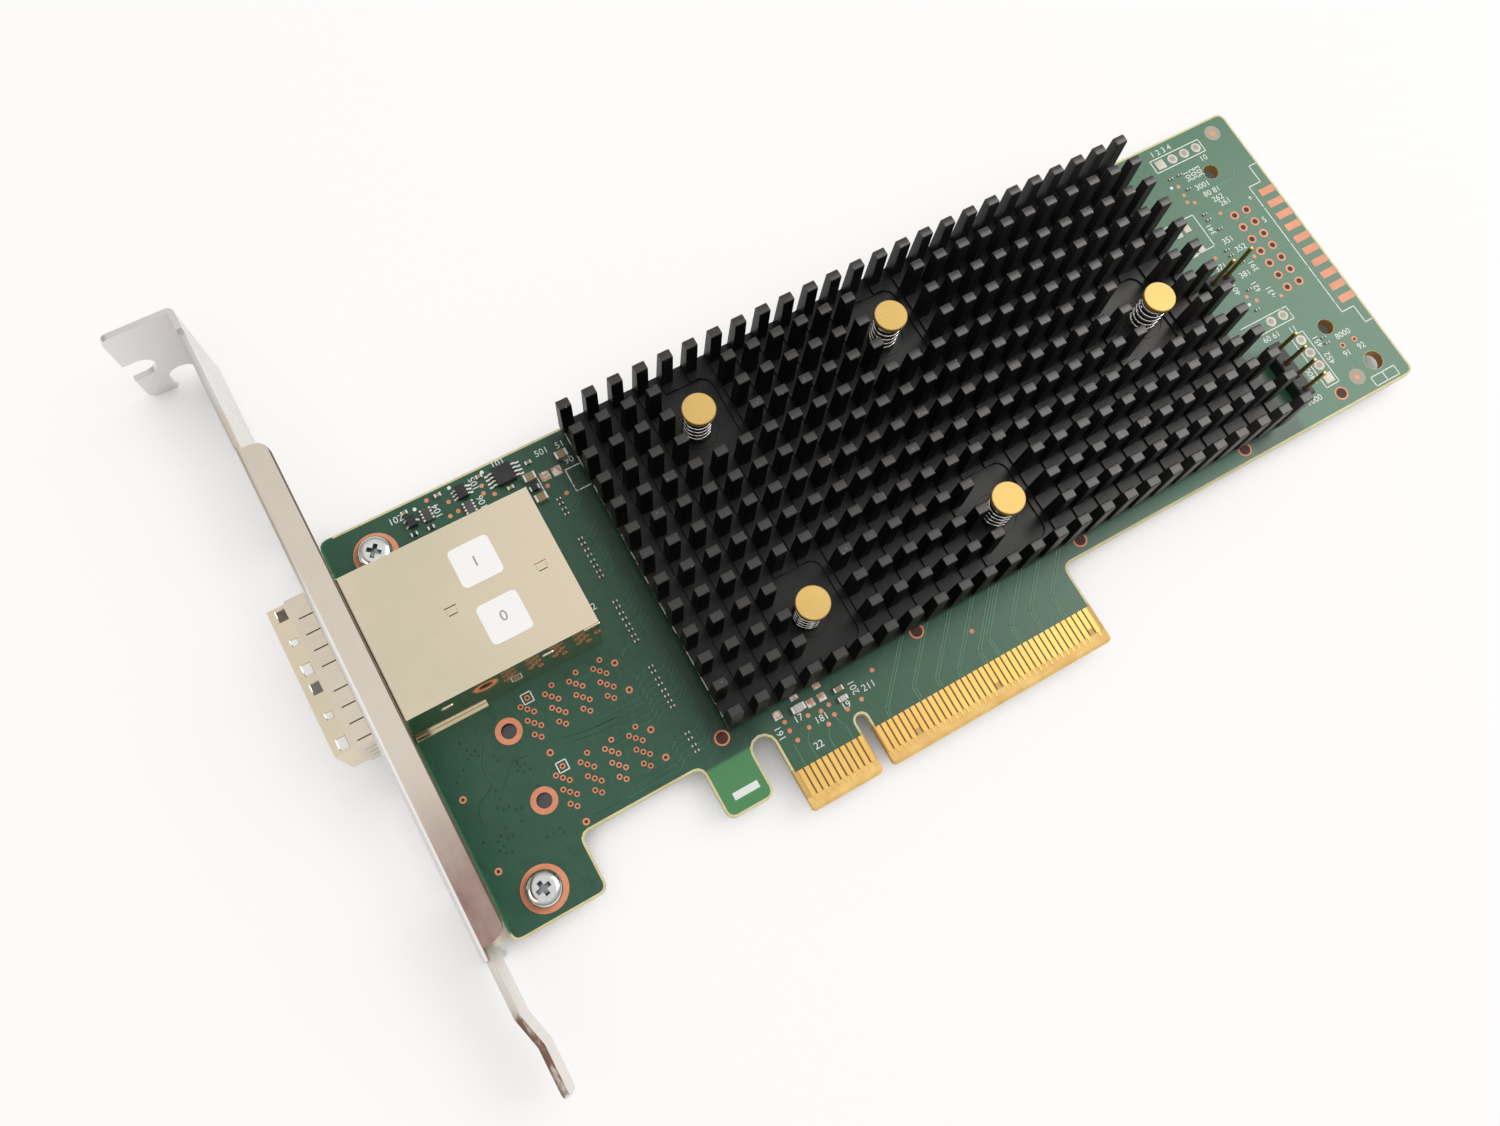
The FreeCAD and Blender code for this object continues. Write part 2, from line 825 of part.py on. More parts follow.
for index, side in enumerate((-1, 1)):
    inner_edge = d.cage_centre + d.cage_web / 2 * side
    outer_edge = d.cage_centre + (d.cage_width / 2 - d.cage_sheet) * side
    edges = (outer_edge, inner_edge) if side < 0 else (inner_edge, outer_edge)
    ports.append(edges)
    space_end = cage_back - d.cage_sheet
    roof = d.cage_height - d.cage_sheet
    cage_spaces.append(block(
        f"port_space_{index}", (cage_front - 1, space_end), edges, (d.cage_floor + d.cage_sheet, roof)
    ))
    cage_spaces.append(block(
        f"port_pit_{index}", (skirt + d.cage_sheet, space_end), edges, (-1, d.cage_floor + d.cage_sheet)
    ))
    port_y = d.cage_centre + d.port_pitch / 2 * side
    for place_index, offset in enumerate((-1, 0, 1)):
        length = d.window_small if offset == 0 else d.window_length
        width = d.window_small if offset == 0 else d.window_width
        cage_spaces.append(block_at(
            f"cage_window_{index}_{place_index}",
            -d.window_centre,
            port_y + d.window_offset * offset,
            length,
            width,
            (d.cage_height - 1, d.cage_height + 1),
        ))
port_cage = cut("port_cage", cage_outer, group("cage_space_set", cage_spaces))

# Spring collar round the mouth of the cage, pressed against the bracket
collar_front = face - d.collar_length
slit_front = face - d.collar_slit_length
collar_ys = (cage_low - d.collar_sheet, cage_high + d.collar_sheet)
collar_zs = (d.cage_floor - d.collar_sheet, d.cage_height + d.collar_sheet)
collar_block = block("collar_block", (collar_front, face), collar_ys, collar_zs)
collar_spaces = [block(
    "collar_space", (collar_front - 1, face + 1), (cage_low, cage_high), (d.cage_floor, d.cage_height)
)]
for index, side in enumerate((-1, 1)):
    port_y = d.cage_centre + d.port_pitch / 2 * side
    for slit, step in enumerate((-2, -1, 0, 1)):
        y = port_y + d.collar_finger * step + 0.1
        across = (y - d.collar_slit / 2, y + d.collar_slit / 2)
        collar_spaces.append(block(
            f"collar_slit_{index}_{slit}", (slit_front, face + 1), across, (0, d.cage_height + 2)
        ))
for slit, step in enumerate((-1, 0, 1)):
    z = (d.cage_floor + d.cage_height) / 2 + d.collar_finger * step
    upright = (z - d.collar_slit / 2, z + d.collar_slit / 2)
    collar_spaces.append(block(
        f"collar_side_slit_{slit}", (slit_front, face + 1), (cage_low - 2, cage_high + 2), upright
    ))
emi_collar = cut("emi_collar", collar_block, group("collar_space_set", collar_spaces))

# Port connectors: moulded socket with two card slots, each lined with terminals
sockets = []
terminal_sets = []
socket_names = ("lower_port", "upper_port")
for index, edges in enumerate(ports):
    name = socket_names[index]
    socket_ys = (edges[0] + d.socket_gap, edges[1] - d.socket_gap)
    socket_xs = (-d.socket_front, cage_back - d.cage_sheet - d.socket_gap)
    socket_block = block(f"{name}_block", socket_xs, socket_ys, (0, d.socket_top))
    middle = (edges[0] + edges[1]) / 2
    slots = []
    terminals = []
    for level in range(2):
        slot_low = d.socket_slot_low + d.socket_slot_spacing * level
        slot_high = slot_low + d.socket_slot_height
        slot_xs = (-d.socket_front, -d.socket_front + d.socket_slot_depth)
        slot_ys = (middle - d.socket_slot_width / 2, middle + d.socket_slot_width / 2)
        slots.append(block(f"{name}_slot_{level}", slot_xs, slot_ys, (slot_low, slot_high)))
        terminal_xs = (slot_xs[1] - d.terminal_length, slot_xs[1])
        heights = (slot_low, slot_low + d.terminal_thickness)
        for number in range(count(d.terminals_per_row)):
            y = middle + d.terminal_pitch * (number - (count(d.terminals_per_row) - 1) / 2)
            across = (y - d.terminal_width / 2, y + d.terminal_width / 2)
            terminals.append(block(f"{name}_pin_{level}_{number}", terminal_xs, across, heights))
    sockets.append(cut(f"{name}_socket", socket_block, group(f"{name}_slot_set", slots)))
    terminal_sets.append(group(f"{name}_terminals", terminals))

# Labels on the roof of the cage
label_zs = (d.cage_height, d.cage_height + d.label_thickness)
labels = [
    block_at(
        f"label_{index}", -d.label_centre, d.cage_centre + d.label_offset * side, d.label_side, d.label_side,
        label_zs,
    )
    for index, side in enumerate((-1, 1))
]
port_labels = group("port_labels", labels)

# Heat sink: extruded fins sawn across into pins, with five recesses for the push pins
sink = new_body("heat_sink")
half_length = d.sink_pin_length / 2
half_root = d.sink_pin_root / 2
half_tip = d.sink_pin_tip / 2
last_x = d.sink_first_x + d.sink_pitch_x * (d.sink_columns - 1)
last_y = d.sink_first_y + d.sink_pitch_y * (d.sink_rows - 1)
sink_xs = (d.sink_first_x - half_length, last_x + half_length)
sink_ys = (d.sink_first_y - half_root, last_y + half_root)
base_sketch = new_sketch(sink, "sink_base", "XY_Plane", d.sink_bottom)
rectangle(base_sketch, sink_xs, sink_ys)
pad(sink, base_sketch, d.sink_channel_floor - d.sink_bottom)
fin_sketch = new_sketch(sink, "sink_fin", "YZ_Plane", sink_xs[0])
outline(fin_sketch, [
    (d.sink_first_y + half_root, d.sink_channel_floor),
    (d.sink_first_y + half_tip, d.sink_top),
    (d.sink_first_y - half_tip, d.sink_top),
    (d.sink_first_y - half_root, d.sink_channel_floor),
])
fin = pad(sink, fin_sketch, sink_xs[1] - sink_xs[0])
pattern(sink, fin, "Y_Axis", d.sink_pitch_y, d.sink_rows)
recess_sketch = new_sketch(sink, "sink_recess", "XY_Plane", d.sink_top)
for (x, y), shift in zip(push_pins, [d.recess_shift] * 4 + [d.tail_recess_shift]):
    middle_x = x + shift
    middle_y = y + d.recess_rise
    rectangle(
        recess_sketch,
        (middle_x - d.recess_length / 2, middle_x + d.recess_length / 2),
        (middle_y - d.recess_width / 2, middle_y + d.recess_width / 2),
    )
pocket(sink, recess_sketch, d.sink_top - d.recess_floor)
sink_holes = new_sketch(sink, "sink_holes", "XY_Plane", d.recess_floor)
half_hole = pin_hole / 2
half_side = half_hole * math.tan(math.pi / SHANK_SIDES)
for x, y in push_pins:
    outline(sink_holes, [
        (x + half_hole, y - half_side), (x + half_hole, y + half_side),
        (x + half_side, y + half_hole), (x - half_side, y + half_hole),
        (x - half_hole, y + half_side), (x - half_hole, y - half_side),
        (x - half_side, y - half_hole), (x + half_side, y - half_hole),
    ])
pocket(sink, sink_holes, d.recess_floor - d.sink_bottom)
saw_sketch = new_sketch(sink, "sink_saw", "XY_Plane", d.sink_top)
saw_xs = (d.sink_first_x + half_length, d.sink_first_x + d.sink_pitch_x - half_length)
rectangle(saw_sketch, saw_xs, (sink_ys[0] - 1, sink_ys[1] + 1))
saw = pocket(sink, saw_sketch, d.sink_top - d.sink_channel_floor)
pattern(sink, saw, "X_Axis", d.sink_pitch_x, d.sink_columns - 1)

# Controller package under the heat sink
die_zs = (d.substrate_height, d.substrate_height + d.die_height)
controller_substrate = block_at(
    "controller_substrate", chip_x, chip_y, d.substrate_side, d.substrate_side, (0, d.substrate_height)
)
controller_die = block_at("controller_die", chip_x, chip_y, d.die_side, d.die_side, die_zs)
thermal_pad = block_at("thermal_pad", chip_x, chip_y, d.pad_side, d.pad_side, (die_zs[1], d.sink_bottom))

# Push pins: flat head, shank through sink and board, barb under the board
under_head = d.pin_top - d.pin_head_height
barb_end = board_bottom - d.pin_barb_height
pins = [
    joined(f"push_pin_{index}", [
        prism(f"pin_head_{index}", x, y, (under_head, d.pin_top), d.pin_head, HEAD_SIDES),
        prism(f"pin_shank_{index}", x, y, (barb_end, under_head), d.pin_shank, SHANK_SIDES),
        prism(f"pin_barb_{index}", x, y, (barb_end + d.pin_barb_lip, board_bottom), d.pin_barb, SHANK_SIDES),
    ])
    for index, (x, y) in enumerate(push_pins)
]
retention_pins = group("retention_pins", pins)


# Spring of square wire between recess floor and pin head, its ends lying flat for part of a turn
def coil(x, y, bottom, top, mean, wire, turns, steps):
    start = bottom + wire / 2
    rise = top - bottom - wire
    flat = steps // 6
    climb = turns * steps
    rings = []
    for index in range(climb + 2 * flat + 1):
        angle = 2 * math.pi * index / steps
        share = min(max((index - flat) / climb, 0), 1)
        z = start + rise * share
        ring = []
        for radius, lift in ((-0.5, -0.5), (0.5, -0.5), (0.5, 0.5), (-0.5, 0.5)):
            reach = mean / 2 + wire * radius
            ring.append(FreeCAD.Vector(x + reach * math.cos(angle), y + reach * math.sin(angle), z + wire * lift))
        rings.append(ring)
    faces = [Part.Face(Part.makePolygon(ring + ring[:1])) for ring in (rings[0], rings[-1])]
    for one, two in zip(rings, rings[1:]):
        for side in range(4):
            following = (side + 1) % 4
            quad = (one[side], one[following], two[following], two[side])
            for triangle in ((quad[0], quad[1], quad[2]), (quad[0], quad[2], quad[3])):
                faces.append(Part.Face(Part.makePolygon([*triangle, triangle[0]])))
    skin = Part.Shell(faces)
    skin.sewShape()
    solid = Part.Solid(skin)
    if solid.Volume < 0:
        solid.reverse()
    return solid


retention_springs = doc.addObject("Part::Feature", "retention_springs")
retention_springs.Shape = Part.Compound([
    coil(
        x.value,
        y.value,
        d.recess_floor.value,
        d.pin_top.value - d.pin_head_height.value,
        d.spring_mean.value,
        d.spring_wire.value,
        count(d.spring_turns),
        SPRING_STEPS,
    )
    for x, y in push_pins
])


# Leaded chips
def leaded_chip(name, x, y, length, width, over_leads, lead_rows, pitch):
    body = block_at(
        f"{name}_chip", x, y, length, width, (d.chip_lift, d.chip_lift + d.chip_height)
    )
    leads = []
    for side, number in zip((-1, 1), lead_rows):
        near_edge = x + length / 2 * side
        far_edge = x + over_leads / 2 * side
        span = (far_edge, near_edge) if side < 0 else (near_edge, far_edge)
        for index in range(number):
            lead_y = y + pitch * (index - (number - 1) / 2)
            across = (lead_y - d.lead_width / 2, lead_y + d.lead_width / 2)
            leads.append(block(f"{name}_lead_{side + 1}_{index}", span, across, (0, d.lead_thickness)))
    return [body, group(f"{name}_leads", leads)]


chips = leaded_chip(
    "memory", d.memory_x, d.memory_y, d.memory_side, d.memory_side, d.memory_over_leads, (4, 4), d.lead_pitch
)
chips += leaded_chip(
    "buffer", d.buffer_x, d.buffer_y, d.buffer_length, d.buffer_width, d.buffer_over_leads, (3, 3),
    d.buffer_lead_pitch,
)
chips += leaded_chip(
    "switch", d.switch_x, d.switch_y, d.switch_length, d.switch_width, d.switch_over_leads, (2, 1),
    d.lead_pitch * 1.5,
)


# Small two-ended parts: a body between two metal ends, or a plain block where it is tiny
def small_part(name, x, y, length, width, height, with_ends):
    x = as_size(x)
    y = as_size(y)
    ys = (y - width / 2, y + width / 2)
    if not with_ends:
        return block(f"{name}_body", (x - length / 2, x + length / 2), ys, (0, height)), []
    end = length * d.terminal_share
    body = block(f"{name}_body", (x - length / 2 + end, x + length / 2 - end), ys, (0, height))
    first = block(f"{name}_end_a", (x - length / 2, x - length / 2 + end), ys, (0, height))
    second = block(f"{name}_end_b", (x + length / 2 - end, x + length / 2), ys, (0, height))
    return body, [first, second]


large = (d.large_length, d.large_width, d.large_height, True)
medium = (d.medium_length, d.medium_width, d.medium_height, True)
small = (d.small_length, d.small_width, d.small_height, False)
fuse = (d.fuse_length, d.fuse_width, d.fuse_height, True)
capacitor_sites = (
    (-25.4, 63.6, large), (-25.3, 59.9, large), (-19.6, 64.7, large),
    (-44.15, 67.3, small), (-38.65, 67.55, small), (-32.0, 67.4, small), (-28.6, 63.6, small),
    (-24.55, 66.0, small), (-0.8, 13.5, medium),
)
resistor_sites = ((-25.5, 61.8, medium), (-44.2, 63.6, small), (-41.6, 63.4, small))
fuse_sites = ((-7.35, 13.9, fuse), (-0.9, 12.0, medium))
ends = []
part_groups = {}
for label, sites in (
    ("chip_capacitors", capacitor_sites), ("chip_resistors", resistor_sites), ("fuses", fuse_sites)
):
    bodies = []
    for index, (x, y, measure) in enumerate(sites):
        body, metal = small_part(f"{label}_{index}", x, y, *measure)
        bodies.append(body)
        ends += metal
    part_groups[label] = group(label, bodies)
part_ends = group("part_terminals", ends)
network_zs = (0, d.network_height)
resistor_networks = group("resistor_networks", [
    block_at(f"network_{index}", x, y, d.network_length, d.network_width, network_zs)
    for index, (x, y) in enumerate(((-41.3, 65.5), (-35.3, 63.6)))
])

# Decoupling capacitors on the solder side, behind the controller
underside = []
for column in range(4):
    for line in (0, 3):
        underside.append(block_at(
            f"underside_{column}_{line}",
            chip_x + d.underside_pitch * (column - 1.5),
            chip_y + d.underside_pitch * (line - 1.5),
            d.small_length,
            d.small_width,
            (board_bottom - d.small_height, board_bottom),
        ))
underside_capacitors = group("underside_capacitors", underside)

nodes = [
    circuit_board, edge_contacts, io_bracket, bracket_screws, port_cage, emi_collar, *sockets, *terminal_sets,
    port_labels, sink, controller_substrate, controller_die, thermal_pad, retention_pins, retention_springs,
    serial_base, serial_pins, jumper_base, jumper_pins, *chips, *part_groups.values(), part_ends,
    resistor_networks, underside_capacitors,
]
doc.recompute()
for item in doc.Objects:
    if "Invalid" in item.State or "Error" in item.State:
        raise ValueError(f"{item.Label} is not sound: {item.State}")
os.makedirs("parts", exist_ok=True)
for node in nodes:
    if node.Shape.isNull() or not node.Shape.isValid() or not node.Shape.Solids:
        raise ValueError(f"{node.Label} has no valid solid")
    node.Shape.exportStep(f"parts/{node.Label}.step")
    print(node.Label, len(node.Shape.Solids), round(node.Shape.Volume, 3))
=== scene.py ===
import json
import math
from types import SimpleNamespace as Values
import bpy
from mathutils import Matrix, Vector

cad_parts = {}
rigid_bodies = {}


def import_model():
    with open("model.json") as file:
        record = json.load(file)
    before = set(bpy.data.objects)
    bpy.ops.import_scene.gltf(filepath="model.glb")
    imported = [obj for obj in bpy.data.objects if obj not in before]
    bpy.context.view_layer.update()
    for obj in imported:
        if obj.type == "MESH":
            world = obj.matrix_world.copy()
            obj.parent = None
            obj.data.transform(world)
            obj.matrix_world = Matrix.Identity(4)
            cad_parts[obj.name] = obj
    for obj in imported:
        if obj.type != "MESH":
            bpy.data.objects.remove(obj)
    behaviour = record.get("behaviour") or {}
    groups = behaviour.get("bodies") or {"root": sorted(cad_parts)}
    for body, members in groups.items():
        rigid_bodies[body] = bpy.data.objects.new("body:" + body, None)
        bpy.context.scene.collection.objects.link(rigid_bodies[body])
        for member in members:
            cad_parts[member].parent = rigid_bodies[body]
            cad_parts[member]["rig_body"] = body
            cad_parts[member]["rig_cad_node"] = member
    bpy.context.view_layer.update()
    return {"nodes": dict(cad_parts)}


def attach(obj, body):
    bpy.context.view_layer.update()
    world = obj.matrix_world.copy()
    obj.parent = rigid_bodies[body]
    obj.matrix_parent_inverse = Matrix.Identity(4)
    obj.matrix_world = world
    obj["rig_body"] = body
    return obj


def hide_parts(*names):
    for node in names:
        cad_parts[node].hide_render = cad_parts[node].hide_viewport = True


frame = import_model()
nodes = frame["nodes"]
scene = bpy.context.scene
edit = bpy.ops.mesh
scene.view_settings.view_transform = "Standard"
mm = 0.001
boardUnder, maskTop, printThick, printRise = -1.57, 0.02, 0.012, 0.002
up, down, along, footward = [Vector(way) for way in ((0, 0, 1), (0, 0, -1), (1, 0, 0), (0, -1, 0))]
print("frame loaded", len(nodes), "nodes")


# picking up, choosing and shaping
def putDown():
    if bpy.context.object and bpy.context.object.mode == "EDIT":
        bpy.ops.object.mode_set(mode="OBJECT")
    bpy.ops.object.select_all(action="DESELECT")


def takeUp(*pieces):
    putDown()
    for piece in pieces:
        piece.select_set(True)
    bpy.context.view_layer.objects.active = pieces[0]
    return pieces[0]


def settle(name):
    piece = bpy.context.object
    piece.name = name
    piece.data.name = name
    bpy.ops.object.transform_apply(location=True, rotation=True, scale=True)
    return piece


def addBlock(name, low, high):
    putDown()
    centre = [(a + b) / 2 * mm for a, b in zip(low, high)]
    edit.primitive_cube_add(size=mm, location=centre)
    bpy.context.object.scale = [b - a for a, b in zip(low, high)]
    return settle(name)


def addOnMask(name, halfX, halfY, top):
    return addBlock(name, (-halfX, -halfY, maskTop), (halfX, halfY, top))


def addBar(name, spot, low, high, radius, sides):
    putDown()
    centre = (spot[0] * mm, spot[1] * mm, (low + high) / 2 * mm)
    edit.primitive_cylinder_add(vertices=sides, radius=radius * mm, depth=(high - low) * mm, location=centre)
    return settle(name)


def choose(piece, kind, test):
    takeUp(piece)
    mesh = piece.data
    groups = {"points": mesh.vertices, "edges": mesh.edges, "faces": mesh.polygons}
    bpy.context.tool_settings.mesh_select_mode = [kind == name for name in groups]
    for group in groups.values():
        group.foreach_set("select", [False] * len(group))
    for item in groups[kind]:
        if kind == "points":
            item.select = test(item.co / mm)
        elif kind == "edges":
            item.select = test(*[mesh.vertices[index].co / mm for index in item.vertices])
        else:
            item.select = test(item.center / mm, item.normal)
    chosen = sum(item.select for item in groups[kind])
    bpy.ops.object.mode_set(mode="EDIT")
    return chosen


def facing(piece, way):
    return choose(piece, "faces", lambda centre, normal: normal.dot(way) > 0.9)


def everything(piece):
    takeUp(piece)
    bpy.ops.object.mode_set(mode="EDIT")
    edit.select_all(action="SELECT")


def mergeFlats():
    edit.dissolve_limited(angle_limit=math.radians(1))


def faceOut():
    edit.select_all(action="SELECT")
    edit.normals_make_consistent(inside=False)
    putDown()


def inset(width):
    edit.inset(thickness=width * mm)


def roundOff(width, segments):
    edit.bevel(offset=width * mm, segments=segments)


def grow(x, y, centre=(0, 0, 0)):
    bpy.ops.transform.resize(value=(x, y, 1), center_override=centre)


def lift(height):
    bpy.ops.transform.translate(value=(0, 0, height * mm))


def pull(x=0, y=0, z=0):
    edit.extrude_region_move(TRANSFORM_OT_translate={"value": (x * mm, y * mm, z * mm)})


def shape(piece, kind, **settings):
    takeUp(piece)
    bpy.ops.object.modifier_add(type=kind)
    modifier = piece.modifiers[-1]
    for name, value in settings.items():
        setattr(modifier, name, value)
    bpy.ops.object.modifier_apply(modifier=modifier.name)
    return piece


def march(piece, count, x=0, y=0):
    offset = (x * mm, y * mm, 0)
    steady = {"use_relative_offset": False, "use_constant_offset": True}
    return shape(piece, "ARRAY", count=count, constant_offset_displace=offset, **steady)


def soften(piece, width, segments=1, angle=30):
    limit = math.radians(angle)
    return shape(piece, "BEVEL", width=width * mm, segments=segments, limit_method="ANGLE", angle_limit=limit)


def carve(piece, cutter):
    shape(piece, "BOOLEAN", operation="DIFFERENCE", solver="EXACT", object=cutter)
    bpy.data.objects.remove(cutter)
    return piece


def joinUp(name, pieces):
    takeUp(*pieces)
    if len(pieces) > 1:
        bpy.ops.object.join()
    piece = bpy.context.object
    piece.name = name
    return piece


def repeat(piece, name, places):
    putDown()
    copies = []
    for place in places:
        copy = piece.copy()
        copy.data = piece.data.copy()
        copy.data.transform(place if isinstance(place, Matrix) else placed(*place))
        scene.collection.objects.link(copy)
        copies.append(copy)
    bpy.data.objects.remove(piece)
    return joinUp(name, copies)


def placed(x, y, z=0, degrees=0):
    return Matrix.Translation(Vector((x, y, z)) * mm) @ Matrix.Rotation(math.radians(degrees), 4, "Z")


def turnedOver(axis):
    return Matrix.Translation((0, 0, boardUnder * mm)) @ Matrix.Rotation(math.pi, 4, axis)


def fromNode(name, newName):
    piece = nodes[name].copy()
    piece.data = nodes[name].data.copy()
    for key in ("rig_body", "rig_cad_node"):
        if key in piece:
            del piece[key]
    piece.parent = None
    piece.name = newName
    scene.collection.objects.link(piece)
    piece.hide_render = piece.hide_viewport = False
    piece.hide_set(False)
    takeUp(piece)
    edit.customdata_custom_splitnormals_clear()
    everything(piece)
    edit.remove_doubles(threshold=0.002 * mm)
    mergeFlats()
    putDown()
    return piece


def strokes(name, width, lines):
    unit = addBlock("stroke", (0, -width / 2, maskTop), (1, width / 2, maskTop + printThick))
    facing(unit, up)
    grow(1, 0.7)
    places = []
    for start, end in lines:
        run = Vector(end) - Vector(start)
        stretch = Matrix.Diagonal((run.length + width / 2, 1, 1, 1))
        lead = Matrix.Translation((-width / 4 * mm, 0, 0))
        places.append(placed(*start, 0, math.degrees(math.atan2(run.y, run.x))) @ lead @ stretch)
    return repeat(unit, name, places)


def path(*points):
    return list(zip(points, points[1:]))


def paths(rows):
    return [line for points in rows for line in path(*points)]


def boxPath(left, low, right, high):
    return path((left, low), (right, low), (right, high), (left, high), (left, low))


def lettering(name, word, height, place):
    putDown()
    bpy.ops.object.text_add(location=(0, 0, 0))
    text = bpy.context.object
    text.data.body = word
    text.data.size = height / 0.7 * mm
    text.data.resolution_u = 3
    text.data.align_x = text.data.align_y = "CENTER"
    bpy.ops.object.convert(target="MESH")
    letter = settle(name)
    everything(letter)
    pull(z=0.01)
    faceOut()
    letter.data.transform(place)
    return letter


def dress(piece, *finishes):
    piece.data.materials.clear()
    for finish in finishes:
        piece.data.materials.append(paints[finish])


def twoTone(piece, first, second, test):
    putDown()
    dress(piece, first, second)
    for face in piece.data.polygons:
        face.material_index = int(test(face.center / mm, face.normal))


def done(piece, finish, slotName, *stoodFor, angle=32):
    takeUp(piece)
    bpy.ops.object.shade_smooth_by_angle(angle=math.radians(angle))
    if finish:
        dress(piece, finish)
    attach(piece, "root")
    if stoodFor:
        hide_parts(*stoodFor)


# finishes: a socket that takes part in sums
class Wire:
    def __init__(self, tree, socket=None):
        self.tree = tree
        self.socket = socket

    def node(self, kind, settings=None, values=None, output=0):
        item = self.tree.nodes.new("ShaderNode" + kind)
        for name, value in (settings or {}).items():
            if name == "stops":
                while len(item.color_ramp.elements) < len(value):
                    item.color_ramp.elements.new(0.5)
                for element, (place, colour) in zip(item.color_ramp.elements, value):
                    element.position = place
                    element.color = (*colour, 1)
            else:
                setattr(item, name, value)
        for name, value in (values or {}).items():
            if isinstance(value, Wire):
                self.tree.links.new(value.socket, item.inputs[name])
            else:
                item.inputs[name].default_value = value
        return Wire(self.tree, item.outputs[output])

    def maths(self, operation, first, second=0):
        return self.node("Math", {"operation": operation}, {0: first, 1: second})

    def __add__(self, other):
        return self.maths("ADD", self, other)

    def __sub__(self, other):
        return self.maths("SUBTRACT", self, other)

    def __rsub__(self, other):
        return self.maths("SUBTRACT", other, self)

    def __mul__(self, other):
        return self.maths("MULTIPLY", self, other)

    def over(self, limit, soft=0):
        if soft:
            edges = {"From Min": limit - soft, "From Max": limit + soft, 0: self}
            return self.node("MapRange", {"interpolation_type": "SMOOTHSTEP"}, edges)
        return self.maths("GREATER_THAN", self, limit)

    def within(self, low, high, soft=0):
        return self.over(low, soft) * (1 - self.over(high, soft))

    def blend(self, first, second):
        ends = {0: self, 6: (*first, 1) if isinstance(first, tuple) else first}
        ends[7] = (*second, 1) if isinstance(second, tuple) else second
        return self.node("Mix", {"data_type": "RGBA"}, ends, 2)

    def mottle(self, dark, light, soft=0.3):
        return self.over(0.5, soft).blend(dark, light)

    def spread(self, low, high):
        return self * (high - low) + low


class Finish(Wire):
    def __init__(self, name):
        self.material = bpy.data.materials.new(name)
        self.material.use_nodes = True
        super().__init__(self.material.node_tree)
        self.shader = self.tree.nodes["Principled BSDF"]
        self.place = self.node("TexCoord", output="Object")
        split = self.node("SeparateXYZ", values={0: self.place})
        axes = split.socket.node.outputs
        self.x, self.y, self.z = [Wire(self.tree, socket) * 1000 for socket in axes]

    def noise(self, size, detail=3, rough=0.55, stretch=None):
        place = self.place
        if stretch:
            place = self.node("Mapping", values={0: place, "Scale": stretch})
        values = {"Vector": place, "Scale": 1 / (size * mm), "Detail": detail, "Roughness": rough}
        return self.node("TexNoise", values=values)

    def cells(self, size):
        values = {"Vector": self.place, "Scale": 1 / (size * mm)}
        return self.node("TexVoronoi", values=values, output="Distance")

    def bump(self, height, strength, depth):
        values = {"Height": height, "Strength": strength, "Distance": depth * mm}
        return self.node("Bump", values=values)

    def wear(self, **sockets):
        for name, value in sockets.items():
            socket = self.shader.inputs[name.replace("_", " ")]
            if isinstance(value, Wire):
                self.tree.links.new(value.socket, socket)
            else:
                socket.default_value = value
        return self.material


def metal(name, dark, light, roughness, grain, stretch=None, bump=0.05, metallic=1):
    finish = Finish(name)
    cloud = finish.noise(9, 4)
    fine = finish.noise(grain, 2, 0.6, stretch)
    return finish.wear(
        Base_Color=(cloud * 0.55 + fine * 0.45).mottle(dark, light, 0.22),
        Metallic=metallic,
        Roughness=fine.spread(*roughness) + cloud * 0.06,
        Normal=finish.bump(fine, bump, 0.02),
    )


def bracketFinish():
    finish = Finish("bracketNickel")
    x, y, z = finish.x, finish.y, finish.z
    cloud = finish.noise(9, 4)
    fine = finish.noise(0.25, 2, 0.6, (1, 0.06, 1))
    fleck = (1 - finish.cells(0.9)).over(0.95, 0.02)
    base = (cloud * 0.55 + fine * 0.45).mottle((0.74, 0.69, 0.63), (0.84, 0.8, 0.74), 0.22)
    flange = z.over(12.5, 1) * (1 - y.over(88, 3))
    base = (flange * 0.6).blend(base, (0.76, 0.68, 0.56))
    base = (y.over(88, 3) * 0.8).blend(base, (0.82, 0.795, 0.79))
    # painted reflection: a warm reddish tone on the flange towards the foot
    paintedWarmReflection = flange * (1 - y.over(20, 13)) * finish.noise(5, 3, 0.6, (1, 0.4, 1)).over(0.45, 0.25).spread(0.6, 1)
    base = paintedWarmReflection.blend(base, (0.26, 0.115, 0.11))
    normals = finish.node("NewGeometry", output="Normal")
    upward = finish.node("SeparateXYZ", values={0: normals}, output=2).over(0.5, 0.1)
    sheared = upward * (1 - y.over(-3, 1.5)) * finish.noise(2, 3, 0.6, (1, 0.45, 1)).over(0.42, 0.12)
    base = (sheared * 0.9).blend(base, (0.2, 0.085, 0.05))
    # painted shade: the inner edge face of the flange is painted dark
    paintedEdgeShade = x.within(-55.98, -55.7) * z.over(13)
    base = (paintedEdgeShade * 0.85).blend(base, (0.13, 0.105, 0.08))
    base = (fleck * 0.3).blend(base, (0.3, 0.27, 0.24))
    bend = (1 - x.over(-59.3, 0.1)) * z.over(13.6, 0.2) * (1 - y.over(58, 8)) * y.over(0.5, 0.5)  # painted highlight along the flange's outer bend
    # the bend strip is a painted highlight: white and less metallic
    return finish.wear(
        Base_Color=bend.blend(base, (0.93, 0.92, 0.9)),
        Metallic=1 - bend * 0.85,
        Roughness=fine.spread(0.2, 0.32) + cloud * 0.06 + paintedEdgeShade * 0.4 + sheared * 0.3,
        Normal=finish.bump(fine, 0.02, 0.02),
    )


